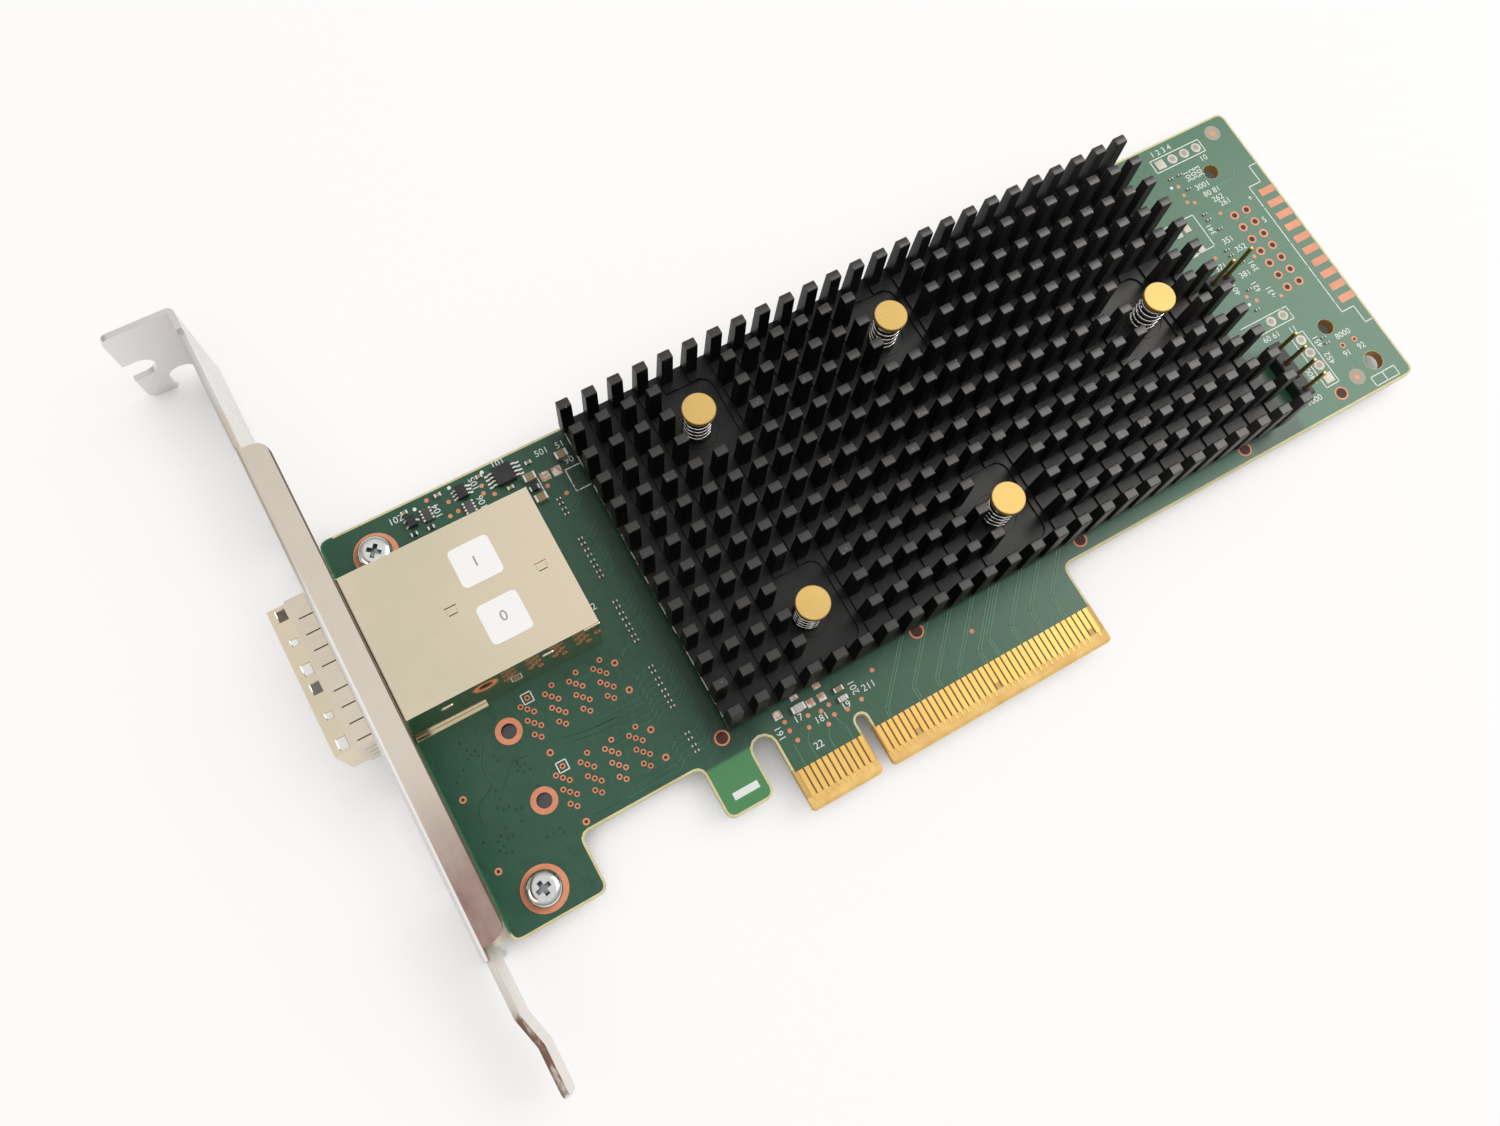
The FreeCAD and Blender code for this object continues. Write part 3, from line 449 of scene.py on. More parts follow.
def cageFinish():
    finish = Finish("cageNickel")
    x, y, z = finish.x, finish.y, finish.z
    cloud = finish.noise(16, 3)
    fine = finish.noise(0.2, 2, 0.6, (0.05, 1, 1))
    base = (cloud * 0.8 + fine * 0.2).mottle((0.71, 0.65, 0.49), (0.8, 0.7, 0.53), 0.2)
    base = x.over(-36, 14).blend(base, (0.84, 0.73, 0.56))
    collarSlitShade = x.within(-62.15, -60.15)  # painted shade on the plate under the slits of the collar
    # painted shade on the inner walls in the port mouths
    inner = (y.within(46.7, 46.96) + y.within(57.6, 57.96)) * z.within(3, 12.2)
    cageInnerShade = finish.maths("MAXIMUM", collarSlitShade * 0.85, inner * (1 - x.over(-60)) * 0.9)
    return finish.wear(
        Base_Color=cageInnerShade.blend(base, (0.085, 0.055, 0.045)),
        Metallic=1,
        Roughness=fine.spread(0.07, 0.12) + cloud * 0.04 + cageInnerShade * 0.3,
        Normal=finish.bump(fine, 0.02, 0.02),
    )


def moulded(name, dark, light, roughness, grain=0.18, bump=0.15):
    finish = Finish(name)
    cloud = finish.noise(4, 3)
    fine = finish.noise(grain, 2)
    return finish.wear(
        Base_Color=cloud.mottle(dark, light),
        Roughness=fine.spread(*roughness),
        Normal=finish.bump(fine, bump, 0.02),
    )


def solderedFinish():
    finish = Finish("solderedPads")
    # painted reflection: copper-coloured glints on the soldered pads
    paintedCopperGlint = finish.noise(0.8, 2).over(0.5, 0.1)
    return finish.wear(
        Base_Color=paintedCopperGlint.blend((0.8, 0.74, 0.68), (0.52, 0.29, 0.19)),
        Roughness=finish.noise(0.3, 2).spread(0.2, 0.38),
    )


def anodisedFinish():
    finish = Finish("blackAnodised")
    z = finish.z
    cloud = finish.noise(14, 3)
    grain = finish.noise(0.12, 2, 0.6, (1, 0.25, 0.25))
    speck = (1 - finish.cells(1.6)).over(0.93, 0.02) * finish.noise(5, 1).over(0.62, 0.03)
    tops = z.over(11.36, 0.05)  # sawn tops painted lighter as a painted highlight; the tops and the milled floor carry more coat, the sides stay dull
    floors = 1 - z.over(3.75, 0.2)
    colour = cloud.mottle((0.002, 0.0018, 0.0018), (0.0055, 0.005, 0.005))
    # painted light: the heat sink is painted lighter towards the far end
    colour = finish.x.over(60, 36).blend(colour, (0.042, 0.04, 0.039))
    colour = (floors * 0.5).blend(colour, (0.01, 0.009, 0.0085))
    # painted highlight: the sawn tops are painted lighter
    colour = (tops * grain.spread(0.6, 1)).blend(colour, (0.026, 0.0235, 0.0225))
    chip = (1 - finish.cells(0.7)).over(0.86, 0.03) * z.within(11.15, 11.5, 0.06) * finish.noise(3).over(0.56, 0.03)
    # painted highlight: a light line along the top edge of the plate's left end
    rim = finish.x.within(-18.1, -17.84) * z.within(3.3, 3.7) * finish.noise(2).over(0.5, 0.1)
    colour = (chip + rim).over(0.5, 0.4).blend(colour, (0.42, 0.41, 0.4))
    return finish.wear(
        Base_Color=(speck * 0.4).blend(colour, (0.16, 0.16, 0.17)),
        Roughness=grain.spread(0.34, 0.48) + cloud * 0.06,
        Normal=finish.bump(grain, 0.15, 0.03),
        IOR=1.28,
        Coat_Weight=tops * 0.52 + floors * 0.2 + 0.06,
        Coat_Roughness=0.28,
        Coat_IOR=1.65,
    )


def maskFinish(name, gain):
    finish = Finish(name)
    x, y = finish.x, finish.y
    cloud = finish.noise(24, 3)
    fine = finish.noise(0.3, 2)
    pour = finish.noise(7, 4, 0.6).over(0.56, 0.03) * (1 - x.over(-18, 1.5))
    weave = finish.noise(0.7, 1, 0.5, (1, 0.3, 1))

    def tone(colour):
        return tuple(min(part * gain, 1) for part in colour)

    base = cloud.mottle(tone((0.014, 0.072, 0.04)), tone((0.019, 0.088, 0.049)))
    base = (pour * 0.35).blend(base, tone((0.009, 0.052, 0.03)))
    # painted light: the mask is painted paler towards the far end
    base = (x.over(48, 52) * 0.9).blend(base, tone((0.042, 0.152, 0.08)))
    # painted shadow: the mask is darkened beside both ends of the heat sink
    paintedSinkShadow = x.within(-20.5, -14, 1.6) * y.over(13, 1) + x.within(78, 87.6, 0.8) * (1 - y.over(32, 1))
    base = (paintedSinkShadow * finish.z.over(-0.5) * 0.7).blend(base, tone((0.006, 0.032, 0.018)))
    # painted light: the mask on the tongue is painted paler
    base = (x.within(-13, 40, 0.8) * (1 - y.over(14.5, 1.5)) * 0.7).blend(base, tone((0.034, 0.11, 0.06)))
    base = (x.within(-24, -15.8, 0.3) * (1 - y.over(12.4, 0.3))).blend(base, tone((0.06, 0.235, 0.085)))
    return finish.wear(
        Base_Color=(weave.over(0.6, 0.15) * 0.12).blend(base, tone((0.05, 0.17, 0.09))),
        Roughness=fine.spread(0.26, 0.36) + cloud * 0.05,
        Normal=finish.bump(pour * 0.4 + fine * 0.12 + weave * 0.2, 0.25, 0.03),
    )


def laminateFinish():
    finish = Finish("laminate")
    x, y = finish.x, finish.y
    weave = finish.noise(0.35, 2, 0.5, (1, 1, 6))
    cloud = finish.noise(3, 2)
    tongue = x.within(-12.8, 39.8)
    base = (weave * 0.5 + cloud * 0.5).mottle((0.58, 0.52, 0.27), (0.74, 0.68, 0.38), 0.2)
    tip = cloud.mottle((0.72, 0.43, 0.12), (0.9, 0.6, 0.2))
    base = (tongue * (1 - y.over(2, 0.1))).blend(base, tip)
    gap = finish.maths("ABSOLUTE", x - finish.maths("ROUND", x))
    rows = x.within(-11.8, -1.2) + x.within(1.2, 38.8)
    base = (tongue * y.within(2, 6.6, 0.1)).blend(base, (0.62, 0.38, 0.11))
    # darker between the fingers: darker laminate with painted shade in the gaps
    base = (rows * y.within(2.15, 6.3, 0.08) * (1 - gap.over(0.15))).blend(base, (0.16, 0.09, 0.03))
    base = ((1 - x.over(-54.9)) * y.over(6.2, 0.4)).blend(base, (0.03, 0.14, 0.058))
    return finish.wear(Base_Color=base, Roughness=weave.spread(0.5, 0.75), Normal=finish.bump(weave, 0.3, 0.03))


def drilledFinish():
    finish = Finish("drilledWall")
    cloud = finish.noise(1.5, 3)
    base = cloud.mottle((0.4, 0.23, 0.06), (0.58, 0.36, 0.12))
    # walls of the holes left of x = 0 are painted dark: plated copper with painted shade in the bore
    plated = cloud.mottle((0.07, 0.022, 0.015), (0.12, 0.05, 0.03))
    return finish.wear(
        Base_Color=(1 - finish.x.over(0)).blend(base, plated),
        Roughness=cloud.spread(0.5, 0.7),
        Normal=finish.bump(cloud, 0.15, 0.02),
    )


def printedFinish(name, dark, light):
    finish = Finish(name)
    fine = finish.noise(0.15, 2)
    return finish.wear(
        Base_Color=fine.mottle(dark, light, 0.25),
        Roughness=fine.spread(0.55, 0.75),
        Normal=finish.bump(fine, 0.1, 0.01),
    )


paints = {
    "mask": maskFinish("greenMask", 1),
    "track": maskFinish("trackMask", 1.45),
    # a darker copy of the mask: painted shade on the raised lines and tented vias
    "shadedRelief": maskFinish("shadedReliefMask", 0.55),
    "laminate": laminateFinish(),
    "drilled": drilledFinish(),
    "clearing": printedFinish("bareClearing", (0.33, 0.31, 0.25), (0.41, 0.38, 0.31)),
    "anodised": anodisedFinish(),
    "gold": metal("plateGold", (0.66, 0.4, 0.1), (0.77, 0.5, 0.165), (0.36, 0.5), 0.35, (1, 0.15, 1), 0.05, 0.85),
    "pinGold": metal("pinGold", (0.4, 0.27, 0.1), (0.56, 0.39, 0.16), (0.25, 0.4), 0.3, None, 0.05, 0.8),
    "brass": metal("turnedBrass", (0.56, 0.37, 0.11), (0.68, 0.47, 0.16), (0.4, 0.52), 0.3, None, 0.05, 0.6),
    "shank": metal("darkShank", (0.05, 0.045, 0.04), (0.1, 0.09, 0.075), (0.35, 0.5), 0.3),
    "bracket": bracketFinish(),
    "cage": cageFinish(),
    "collar": metal("collarNickel", (0.72, 0.64, 0.52), (0.8, 0.72, 0.6), (0.16, 0.26), 0.2, (0.05, 1, 1), 0.03),
    "zinc": metal("screwZinc", (0.66, 0.67, 0.67), (0.86, 0.87, 0.86), (0.1, 0.2), 0.6, None, 0.02),
    # darker zinc inside the cross recess: painted shade
    "recess": metal("screwRecessShade", (0.26, 0.3, 0.31), (0.42, 0.46, 0.47), (0.25, 0.4), 0.3),
    "spring": metal("springWire", (0.72, 0.71, 0.69), (0.9, 0.89, 0.87), (0.12, 0.22), 0.3),
    "tin": metal("tinnedEnds", (0.6, 0.58, 0.55), (0.82, 0.8, 0.76), (0.24, 0.42), 0.25, None, 0.2),
    "padTin": moulded("paleTin", (0.54, 0.49, 0.41), (0.7, 0.65, 0.56), (0.36, 0.5)),
    "soldered": solderedFinish(),
    "brightTin": moulded("brightTin", (0.72, 0.7, 0.66), (0.86, 0.84, 0.8), (0.3, 0.45)),
    "dullTin": moulded("dullTin", (0.3, 0.28, 0.24), (0.42, 0.39, 0.33), (0.38, 0.52)),
    "copper": moulded("bareCopper", (0.64, 0.22, 0.105), (0.78, 0.31, 0.165), (0.36, 0.52)),
    "black": moulded("blackNylon", (0.01, 0.01, 0.011), (0.02, 0.02, 0.021), (0.42, 0.6)),
    "chip": moulded("chipEpoxy", (0.014, 0.014, 0.016), (0.03, 0.03, 0.032), (0.5, 0.7), 0.1, 0.25),
    "label": printedFinish("labelFilm", (0.88, 0.88, 0.88), (0.93, 0.93, 0.93)),
    "ink": printedFinish("labelInk", (0.26, 0.26, 0.26), (0.34, 0.34, 0.34)),
    "silk": printedFinish("whiteLegend", (0.7, 0.74, 0.7), (0.84, 0.86, 0.83)),
    # dark discs in the ring centres: painted shade standing in for the open holes
    "holeShade": moulded("holeShadeDisc", (0.05, 0.014, 0.009), (0.085, 0.028, 0.018), (0.6, 0.8)),
    "substrate": moulded("chipSubstrate", (0.01, 0.07, 0.035), (0.018, 0.095, 0.05), (0.3, 0.45)),
    "silicon": moulded("dieBack", (0.1, 0.1, 0.11), (0.15, 0.15, 0.16), (0.08, 0.16), 0.5, 0.03),
    "padGrey": moulded("thermalPad", (0.36, 0.36, 0.38), (0.46, 0.46, 0.48), (0.7, 0.9), 0.2, 0.4),
    "ceramic": moulded("tanCeramic", (0.25, 0.18, 0.1), (0.36, 0.27, 0.16), (0.35, 0.5)),
    "fuse": moulded("whiteCeramic", (0.5, 0.5, 0.47), (0.66, 0.66, 0.63), (0.35, 0.5)),
    "network": moulded("networkCeramic", (0.05, 0.05, 0.05), (0.09, 0.09, 0.09), (0.35, 0.5)),
}
nodePaints = {
    "emi_collar": "collar", "lower_port_socket": "black", "upper_port_socket": "black",
    "lower_port_terminals": "gold", "upper_port_terminals": "gold",
    "controller_substrate": "substrate", "controller_die": "silicon", "thermal_pad": "padGrey",
}
for name, paint in nodePaints.items():
    dress(nodes[name], paint)
print("finishes mixed", len(paints))

# camera at the photograph's place
cameraSizes = {
    "place": (-39.30265, -2.04695, 171.55916),
    "right": (0.8678634, -0.49102434, 0.07555273),
    "down": (-0.45291109, -0.84448481, -0.28586176),
    "forward": (0.20416821, 0.21387029, -0.95528783),
    "focal": 1199.3596,
    "width": 1500,
}
bpy.ops.object.camera_add()
camera = bpy.context.object
camera.name = "photoCamera"
camera.data.sensor_fit = "HORIZONTAL"
camera.data.sensor_width = 36
camera.data.lens = cameraSizes["focal"] / cameraSizes["width"] * camera.data.sensor_width
camera.data.clip_start = 0.005
camera.data.clip_end = 20
turn = Matrix([Vector(cameraSizes["right"]), -Vector(cameraSizes["down"]), -Vector(cameraSizes["forward"])])
turn.transpose()
camera.matrix_world = Matrix.Translation(Vector(cameraSizes["place"]) * mm) @ turn.to_4x4()
scene.camera = camera

# studio: pale floor, bright overhead, one broad lamp beyond the far end
studio = {
    "floor": -4.25, "span": 2400, "shade": 0.88, "under": 0.1, "glow": 0.84, "near": 16,
    "zenith": (0.86, 0.85, 0.83), "slope": (0.5, 0.49, 0.48), "horizon": (0.28, 0.275, 0.27),
    "lampSpot": (0.62, 0.02, 0.66), "lampAim": (0.02, 0.04, 0), "lampSize": 0.62, "lampPower": 5,
}
putDown()
edit.primitive_plane_add(size=studio["span"] * mm, location=(0.02, 0.04, studio["floor"] * mm))
studioFloor = settle("studioFloor")
floorPaint = Finish("floorCard")
seenRay = floorPaint.node("LightPath", output="Is Camera Ray")
shinyRay = floorPaint.node("LightPath", output="Is Glossy Ray")
seen = floorPaint.maths("MAXIMUM", seenRay, shinyRay)
openness = floorPaint.node("AmbientOcclusion", values={"Distance": studio["near"] * mm}, output="AO")
# painted shade: the floor is painted dark under the card by ambient occlusion, and its glow fades there as well
floorToneWithPaintedShade = openness.over(0.3, 0.28).blend((studio["under"],) * 3, (studio["shade"],) * 3)
floorPaint.wear(Base_Color=floorToneWithPaintedShade, Roughness=0.9)
glow = floorPaint.node("Emission", values={"Color": (1, 0.99, 0.985, 1), "Strength": 1})
shade = Wire(floorPaint.tree, floorPaint.shader.outputs[0])
mixed = floorPaint.node("MixShader", values={0: seen * openness * studio["glow"], 1: shade, 2: glow})
floorPaint.tree.links.new(mixed.socket, floorPaint.tree.nodes["Material Output"].inputs[0])
studioFloor.data.materials.append(floorPaint.material)
world = bpy.data.worlds.new("studioWorld")
scene.world = world
world.use_nodes = True
sky = Wire(world.node_tree)
ground = sky.tree.nodes["Background"]
skyPlace = sky.node("TexCoord", output="Generated")
skyHeight = sky.node("SeparateXYZ", values={0: skyPlace}, output=2)
skyStops = [(0, studio["horizon"]), (0.5, studio["slope"]), (0.95, studio["zenith"])]
skyTint = sky.node("ValToRGB", {"stops": skyStops}, {0: skyHeight})
sky.tree.links.new(skyTint.socket, ground.inputs["Color"])
ground.inputs["Strength"].default_value = 1
bright = sky.node("Background", values={"Color": (1, 1, 1, 1), "Strength": 1})
isCamera = sky.node("LightPath", output="Is Camera Ray")
both = sky.node("MixShader", values={0: isCamera, 1: Wire(sky.tree, ground.outputs[0]), 2: bright})
sky.tree.links.new(both.socket, sky.tree.nodes["World Output"].inputs[0])
putDown()
bpy.ops.object.light_add(type="AREA", location=studio["lampSpot"])
lamp = bpy.context.object
lamp.name = "broadLamp"
lamp.data.size = studio["lampSize"]
lamp.data.energy = studio["lampPower"]
lamp.data.color = (1, 0.985, 0.96)
lampRun = Vector(studio["lampAim"]) - Vector(studio["lampSpot"])
lamp.rotation_euler = lampRun.to_track_quat("-Z", "Y").to_euler()
print("camera and studio set")

# heat sink: plate with five pockets, and rows of round-topped pins
sinkSizes = {
    "firstX": -17.03, "firstY": 16.67, "pitchX": 4.1465, "pitchY": 4.225, "columns": 25, "rows": 13, "length": 1.9,
    "root": 1.98, "tip": 1.5, "crown": 0.26, "bottom": 2, "floor": 3.5, "sawFloor": 3.12, "top": 11.5, "sunk": 0.1,
    "pocketFloor": 2.8, "pocketLength": 8.4, "pocketWidth": 13.5, "pocketRound": 1.7, "pocketRise": 0.3,
    "pocketShifts": (1.53, 1.53, 1.53, 1.53, -0.5), "margin": 0.3, "bore": 1.5, "ring": 3.35, "ringWidth": 0.16,
    "ringDepth": 0.12, "plateEase": 0.06, "pinEase": 0.05,
}
pinSpots = [(0.1, 24.8), (33.3, 24.8), (0.1, 58), (33.3, 58), (72.6, 41.4)]


def buildSink(s):
    length, root, floor, pocketFloor = s.length, s.root, s.floor, s.pocketFloor
    left, low = s.firstX - length / 2, s.firstY - root / 2
    right = s.firstX + s.pitchX * (s.columns - 1) + length / 2
    high = s.firstY + s.pitchY * (s.rows - 1) + root / 2
    plate = addBlock("sinkPlate", (left, low, s.bottom), (right, high, floor))
    saw = addBlock("sawCut", (left + length, low - 1, s.sawFloor), (left + s.pitchX, high + 1, floor + 1))
    march(saw, s.columns - 1, x=s.pitchX)
    carve(plate, saw)
    halfX, halfY = s.pocketLength / 2, s.pocketWidth / 2
    centres = [(x + shift, y + s.pocketRise) for (x, y), shift in zip(pinSpots, s.pocketShifts)]
    pockets = []
    for x, y in centres:
        pocket = addBlock("pocket", (x - halfX, y - halfY, pocketFloor), (x + halfX, y + halfY, floor + 2))
        choose(pocket, "edges", lambda a, b: abs(a.z - b.z) > 1)
        roundOff(s.pocketRound, 6)
        pockets.append(pocket)
    carve(plate, joinUp("pockets", pockets))
    carve(plate, joinUp("bores", [addBar("bore", spot, 0, floor + 1, s.bore, 24) for spot in pinSpots]))
    for spot in pinSpots:
        groove = addBar("groove", spot, pocketFloor - s.ringDepth, pocketFloor + 0.3, s.ring, 48)
        carve(groove, addBar("grooveCore", spot, 0, 9, s.ring - s.ringWidth, 48))
        carve(plate, groove)
    soften(plate, s.plateEase)
    pin = addBlock("sinkPin", (left, low, floor - s.sunk), (left + length, s.firstY + root / 2, s.top))
    facing(pin, up)
    grow(1, s.tip / root, (0, s.firstY * mm, 0))
    choose(pin, "edges", lambda a, b: min(a.z, b.z) > s.top - 0.01 and abs(a.x - b.x) > 1)
    roundOff(s.crown, 3)
    facing(pin, down)
    edit.delete(type="FACE")
    soften(pin, s.pinEase, 1, 50)
    march(pin, s.columns, x=s.pitchX)
    march(pin, s.rows, y=s.pitchY)
    reach = halfX + s.margin
    choose(pin, "points", lambda spot: any(abs(spot.x - x) < reach and abs(spot.y - y) < halfY for x, y in centres))
    edit.delete(type="VERT")
    done(joinUp("pinFinSink", [plate, pin]), "anodised", "black_aluminium", "heat_sink", angle=20)


buildSink(Values(**sinkSizes))
print("heat sink built")

# push pins with their springs
pushSizes = {
    "head": 2.55, "top": 10.5, "headHeight": 1, "shank": 1.2, "barb": 1.7, "end": -3.47, "flare": 0.02,
    "barbHeight": 0.85, "taper": 0.62, "ease": 0.1,
}
springSizes = {"mean": 2.08, "wire": 0.25, "turns": 5, "bottom": 2.8, "top": 9.5, "steps": 18}


def buildPushPins(s):
    head, shank, under = s.head, s.shank, s.top - s.headHeight
    pin = addBar("pushPin", (0, 0), under, s.top, head, 40)
    facing(pin, down)
    inset(head - shank)
    pull(z=boardUnder - under)
    inset(0.001)
    pull(z=-s.flare)
    grow(s.barb / shank, s.barb / shank)
    pull(z=-s.barbHeight)
    pull(z=s.end - boardUnder + s.flare + s.barbHeight)
    grow(s.taper, s.taper)
    rim, face = head - 0.05, under - 0.01
    choose(pin, "edges", lambda a, b: min(a.z, b.z) > face and abs(a.z - b.z) < 0.01 and a.xy.length > rim)
    roundOff(s.ease, 1)
    twoTone(pin, "brass", "shank", lambda centre, normal: boardUnder < centre.z < face)
    done(repeat(pin, "pushPins", pinSpots), None, "brass", "retention_pins")


def buildSprings(s):
    putDown()
    quarter = (math.pi / 2, 0, 0)
    edit.primitive_circle_add(
        vertices=8, radius=s.wire * mm, location=(s.mean * mm, 0, 0), rotation=quarter
    )
    wire = settle("springWire")
    winding = {"axis": "Z", "angle": 2 * math.pi, "iterations": s.turns}
    winding["screw_offset"] = (s.top - s.bottom - 2 * s.wire) / s.turns * mm
    shape(wire, "SCREW", steps=s.steps, render_steps=s.steps, **winding)
    everything(wire)
    edit.remove_doubles(threshold=0.001 * mm)
    edit.fill_holes(sides=0)
    edit.normals_make_consistent(inside=False)
    springs = repeat(wire, "pinSprings", [(x, y, s.bottom + s.wire) for x, y in pinSpots])
    done(springs, "spring", "spring_steel", "retention_springs", angle=60)


buildPushPins(Values(**pushSizes))
buildSprings(Values(**springSizes))
print("push pins and springs built")

# bracket screws: domed head with a cross recess, plain shank through board and lug
screwSizes = {
    "head": 2.62, "height": 1.9, "shank": 1.38, "end": -3.57, "slot": 0.72, "reach": 1.3, "depth": 1.1, "dome": 1.15,
    "point": 0.3, "narrow": (0.5, 0.8), "dark": (0.2, 1.78),
}
screwSpots = [(-50.35, 9.2, 12), (-50.35, 63.4, 50)]


def buildScrews(s):
    height, reach, half = s.height, s.reach, s.slot / 2
    screw = addBar("bracketScrew", (0, 0), 0, height, s.head, 48)
    choose(screw, "edges", lambda a, b: min(a.z, b.z) > height - 0.01)
    roundOff(s.dome, 6)
    facing(screw, down)
    inset(s.head - s.shank)
    pull(z=s.end + s.point)
    inset(s.point)
    lift(-s.point)
    for turned in (0, 90):
        arm = addBlock("crossArm", (-reach, -half, height - s.depth), (reach, half, height + 0.5))
        facing(arm, down)
        grow(*s.narrow)
        putDown()
        arm.data.transform(Matrix.Rotation(math.radians(turned), 4, "Z"))
        carve(screw, arm)
    low, high = s.dark
    # the faces inside the cross recess take the darker zinc: painted shade
    twoTone(screw, "zinc", "recess", lambda centre, normal: centre.xy.length < reach and low < centre.z < high)
    places = [placed(x, y, 0, degrees) for x, y, degrees in screwSpots]
    done(repeat(screw, "bracketScrews", places), None, "screw_steel", "bracket_screws")


buildScrews(Values(**screwSizes))
print("screws built")

# folded metal and moulded pieces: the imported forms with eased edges
softSizes = {
    "io_bracket": ("slotBracket", 0.12, "bracket", "bracket_steel"),
    "memory_chip": ("memoryChip", 0.07, "chip", "chip_plastic"),
    "buffer_chip": ("bufferChip", 0.06, "chip", "chip_plastic"),
    "switch_chip": ("switchChip", 0.06, "chip", "chip_plastic"),
    "chip_capacitors": ("chipCapacitors", 0.06, "ceramic", "capacitor_ceramic"),
    "chip_resistors": ("chipResistors", 0.04, "chip", "chip_plastic"),
    "fuses": ("chipFuses", 0.06, "fuse", "fuse_ceramic"),
    "part_terminals": ("partEnds", 0.08, "tin", "tin"),
    "resistor_networks": ("resistorNetworks", 0.05, "network", "network_ceramic"),
    "underside_capacitors": ("undersideCapacitors", 0.05, "ceramic", "capacitor_ceramic"),
    "serial_header_base": ("serialBase", 0.18, "black", "black_plastic"),
    "jumper_base": ("jumperBase", 0.18, "black", "black_plastic"),
    "serial_header_pins": ("serialPins", 0.14, "pinGold", "gold"),
    "jumper_pins": ("jumperPins", 0.14, "pinGold", "gold"),
}
for node, (name, width, paint, slotName) in softSizes.items():
    done(soften(fromNode(node, name), width), paint, slotName, node)
print("edges eased on", len(softSizes), "pieces")

# port cage: shorter floor lips, lanced tabs in the roof, dimples and a folded tab on the side
cageSizes = {
    "roof": 12.5, "wall": 36.05, "ease": 0.08, "lances": (-44.1, -30.7), "lance": (1.2, 46.6, 47.5),
    "slits": ((47.35, 0.88), (46.2, 0.65)), "slit": 0.065, "slitEnds": (0.72, 0.03, 46.45, 47.1),
    "dimples": ((-50.45, 9), (-35.4, 9.7)), "dimple": (0.95, 0.375), "dimpleDepths": (-0.22, 0.3), "dimpleEase": 0.16,
    "tab": (-29.8, -27.45, 10.9, 12.3), "tabDepths": (-0.2, 0.1), "tabEase": 0.07,
    "mouths": ((36.6, 46.6), (47.5, 57.5)), "lip": (-66.6, -64.65, 2, 3.4),
}


def buildCage(s):
    roof, wall = s.roof, s.wall
    cage = fromNode("port_cage", "portCage")
    half, low, high = s.lance
    for x in s.lances:
        carve(cage, addBlock("lanceTop", (x - half, low, roof), (x + half, high, roof + 1)))
    left, right, under, over = s.lip
    for low, high in s.mouths:
        carve(cage, addBlock("floorLip", (left, low, under), (right, high, over)))
    everything(cage)
    mergeFlats()
    soften(cage, s.ease)
    out, half, low, high = s.slitEnds
    for x in s.lances:
        cuts = [(x - long, y - s.slit, x + long, y + s.slit) for y, long in s.slits]
        cuts += [(x + side * out - half, low, x + side * out + half, high) for side in (-1, 1)]
        for left, near, right, far in cuts:
            carve(cage, addBlock("slit", (left, near, roof - 0.8), (right, far, roof + 0.5)))
    pieces = [cage]
    halfX, halfZ = s.dimple
    near, far = [wall + depth for depth in s.dimpleDepths]
    for x, z in s.dimples:
        dimple = addBlock("dimple", (x - halfX, near, z - halfZ), (x + halfX, far, z + halfZ))
        choose(dimple, "edges", lambda a, b: abs(a.y - b.y) > 0.2)
        roundOff(halfZ * 0.96, 4)
        facing(dimple, footward)
        roundOff(s.dimpleEase, 3)
        pieces.append(dimple)
    left, right, low, high = s.tab
    near, far = [wall + depth for depth in s.tabDepths]
    pieces.append(soften(addBlock("sideTab", (left, near, low), (right, far, high)), s.tabEase, 2))
    done(joinUp("portCage", pieces), "cage", "cage_metal", "port_cage")


buildCage(Values(**cageSizes))
print("port cage built")

# gull-wing leads of the three small chips, and the ends of the resistor networks and smallest parts
leadSizes = {
    "half": 0.15, "thick": 0.14, "rise": 0.36, "foot": 0.42, "bend": 0.6, "ease": 0.03, "end": (0.16, 0.15, 0.54),
    "endEase": 0.05, "endReach": 0.72, "endPitch": 0.54, "tinyReach": 0.4, "tinyEnd": (0.8, 1.93, 0.88, 1),
}
fourLeads, threeLeads = (-0.975, -0.325, 0.325, 0.975), (-0.6, 0, 0.6)
leadRows = (
    (-28.55, 65.9, 2.85, 1.35, fourLeads, fourLeads),
    (-35.3, 66.3, 1.55, 0.82, threeLeads, threeLeads),
    (-43.75, 65.45, 1.15, 0.52, (-0.4875, 0.4875), (0,)),
)
networkSpots = ((-41.3, 65.5), (-35.3, 63.6))
smallSpots = (
    (-44.15, 67.3), (-38.65, 67.55), (-32, 67.4), (-28.6, 63.6), (-24.55, 66), (-44.2, 63.6), (-41.6, 63.4),
)


def buildLeads(s):
    lead = addBlock("chipLead", (0, -s.half, maskTop), (s.foot, s.half, maskTop + s.thick))
    facing(lead, along)
    pull(x=s.bend - s.foot, z=s.rise)
    pull(x=1 - s.bend)
    soften(lead, s.ease, 1, 20)
    places = []
    for x, y, reach, length, lefts, rights in leadRows:
        stretch = Matrix.Diagonal((length, 1, 1, 1))
        places += [placed(x - reach, y + shift) @ stretch for shift in lefts]
        places += [placed(x + reach, y + shift, 0, 180) @ stretch for shift in rights]
    leads = repeat(lead, "chipLeads", places)
    done(leads, "brightTin", "tin", "memory_leads", "buffer_leads", "switch_leads")
    end = addOnMask("networkEnd", *s.end)
    soften(end, s.endEase, 2)
    shifts = [(side * s.endReach, (index - 1.5) * s.endPitch) for side in (-1, 1) for index in range(4)]
    places = [placed(x + shiftX, y + shiftY) for x, y in networkSpots for shiftX, shiftY in shifts]
    tiny = Matrix.Diagonal(s.tinyEnd)
    places += [placed(x + side * s.tinyReach, y) @ tiny for x, y in smallSpots for side in (-1, 1)]
    done(repeat(end, "networkEnds", places), "brightTin", "tin")


buildLeads(Values(**leadSizes))
print("leads bent")

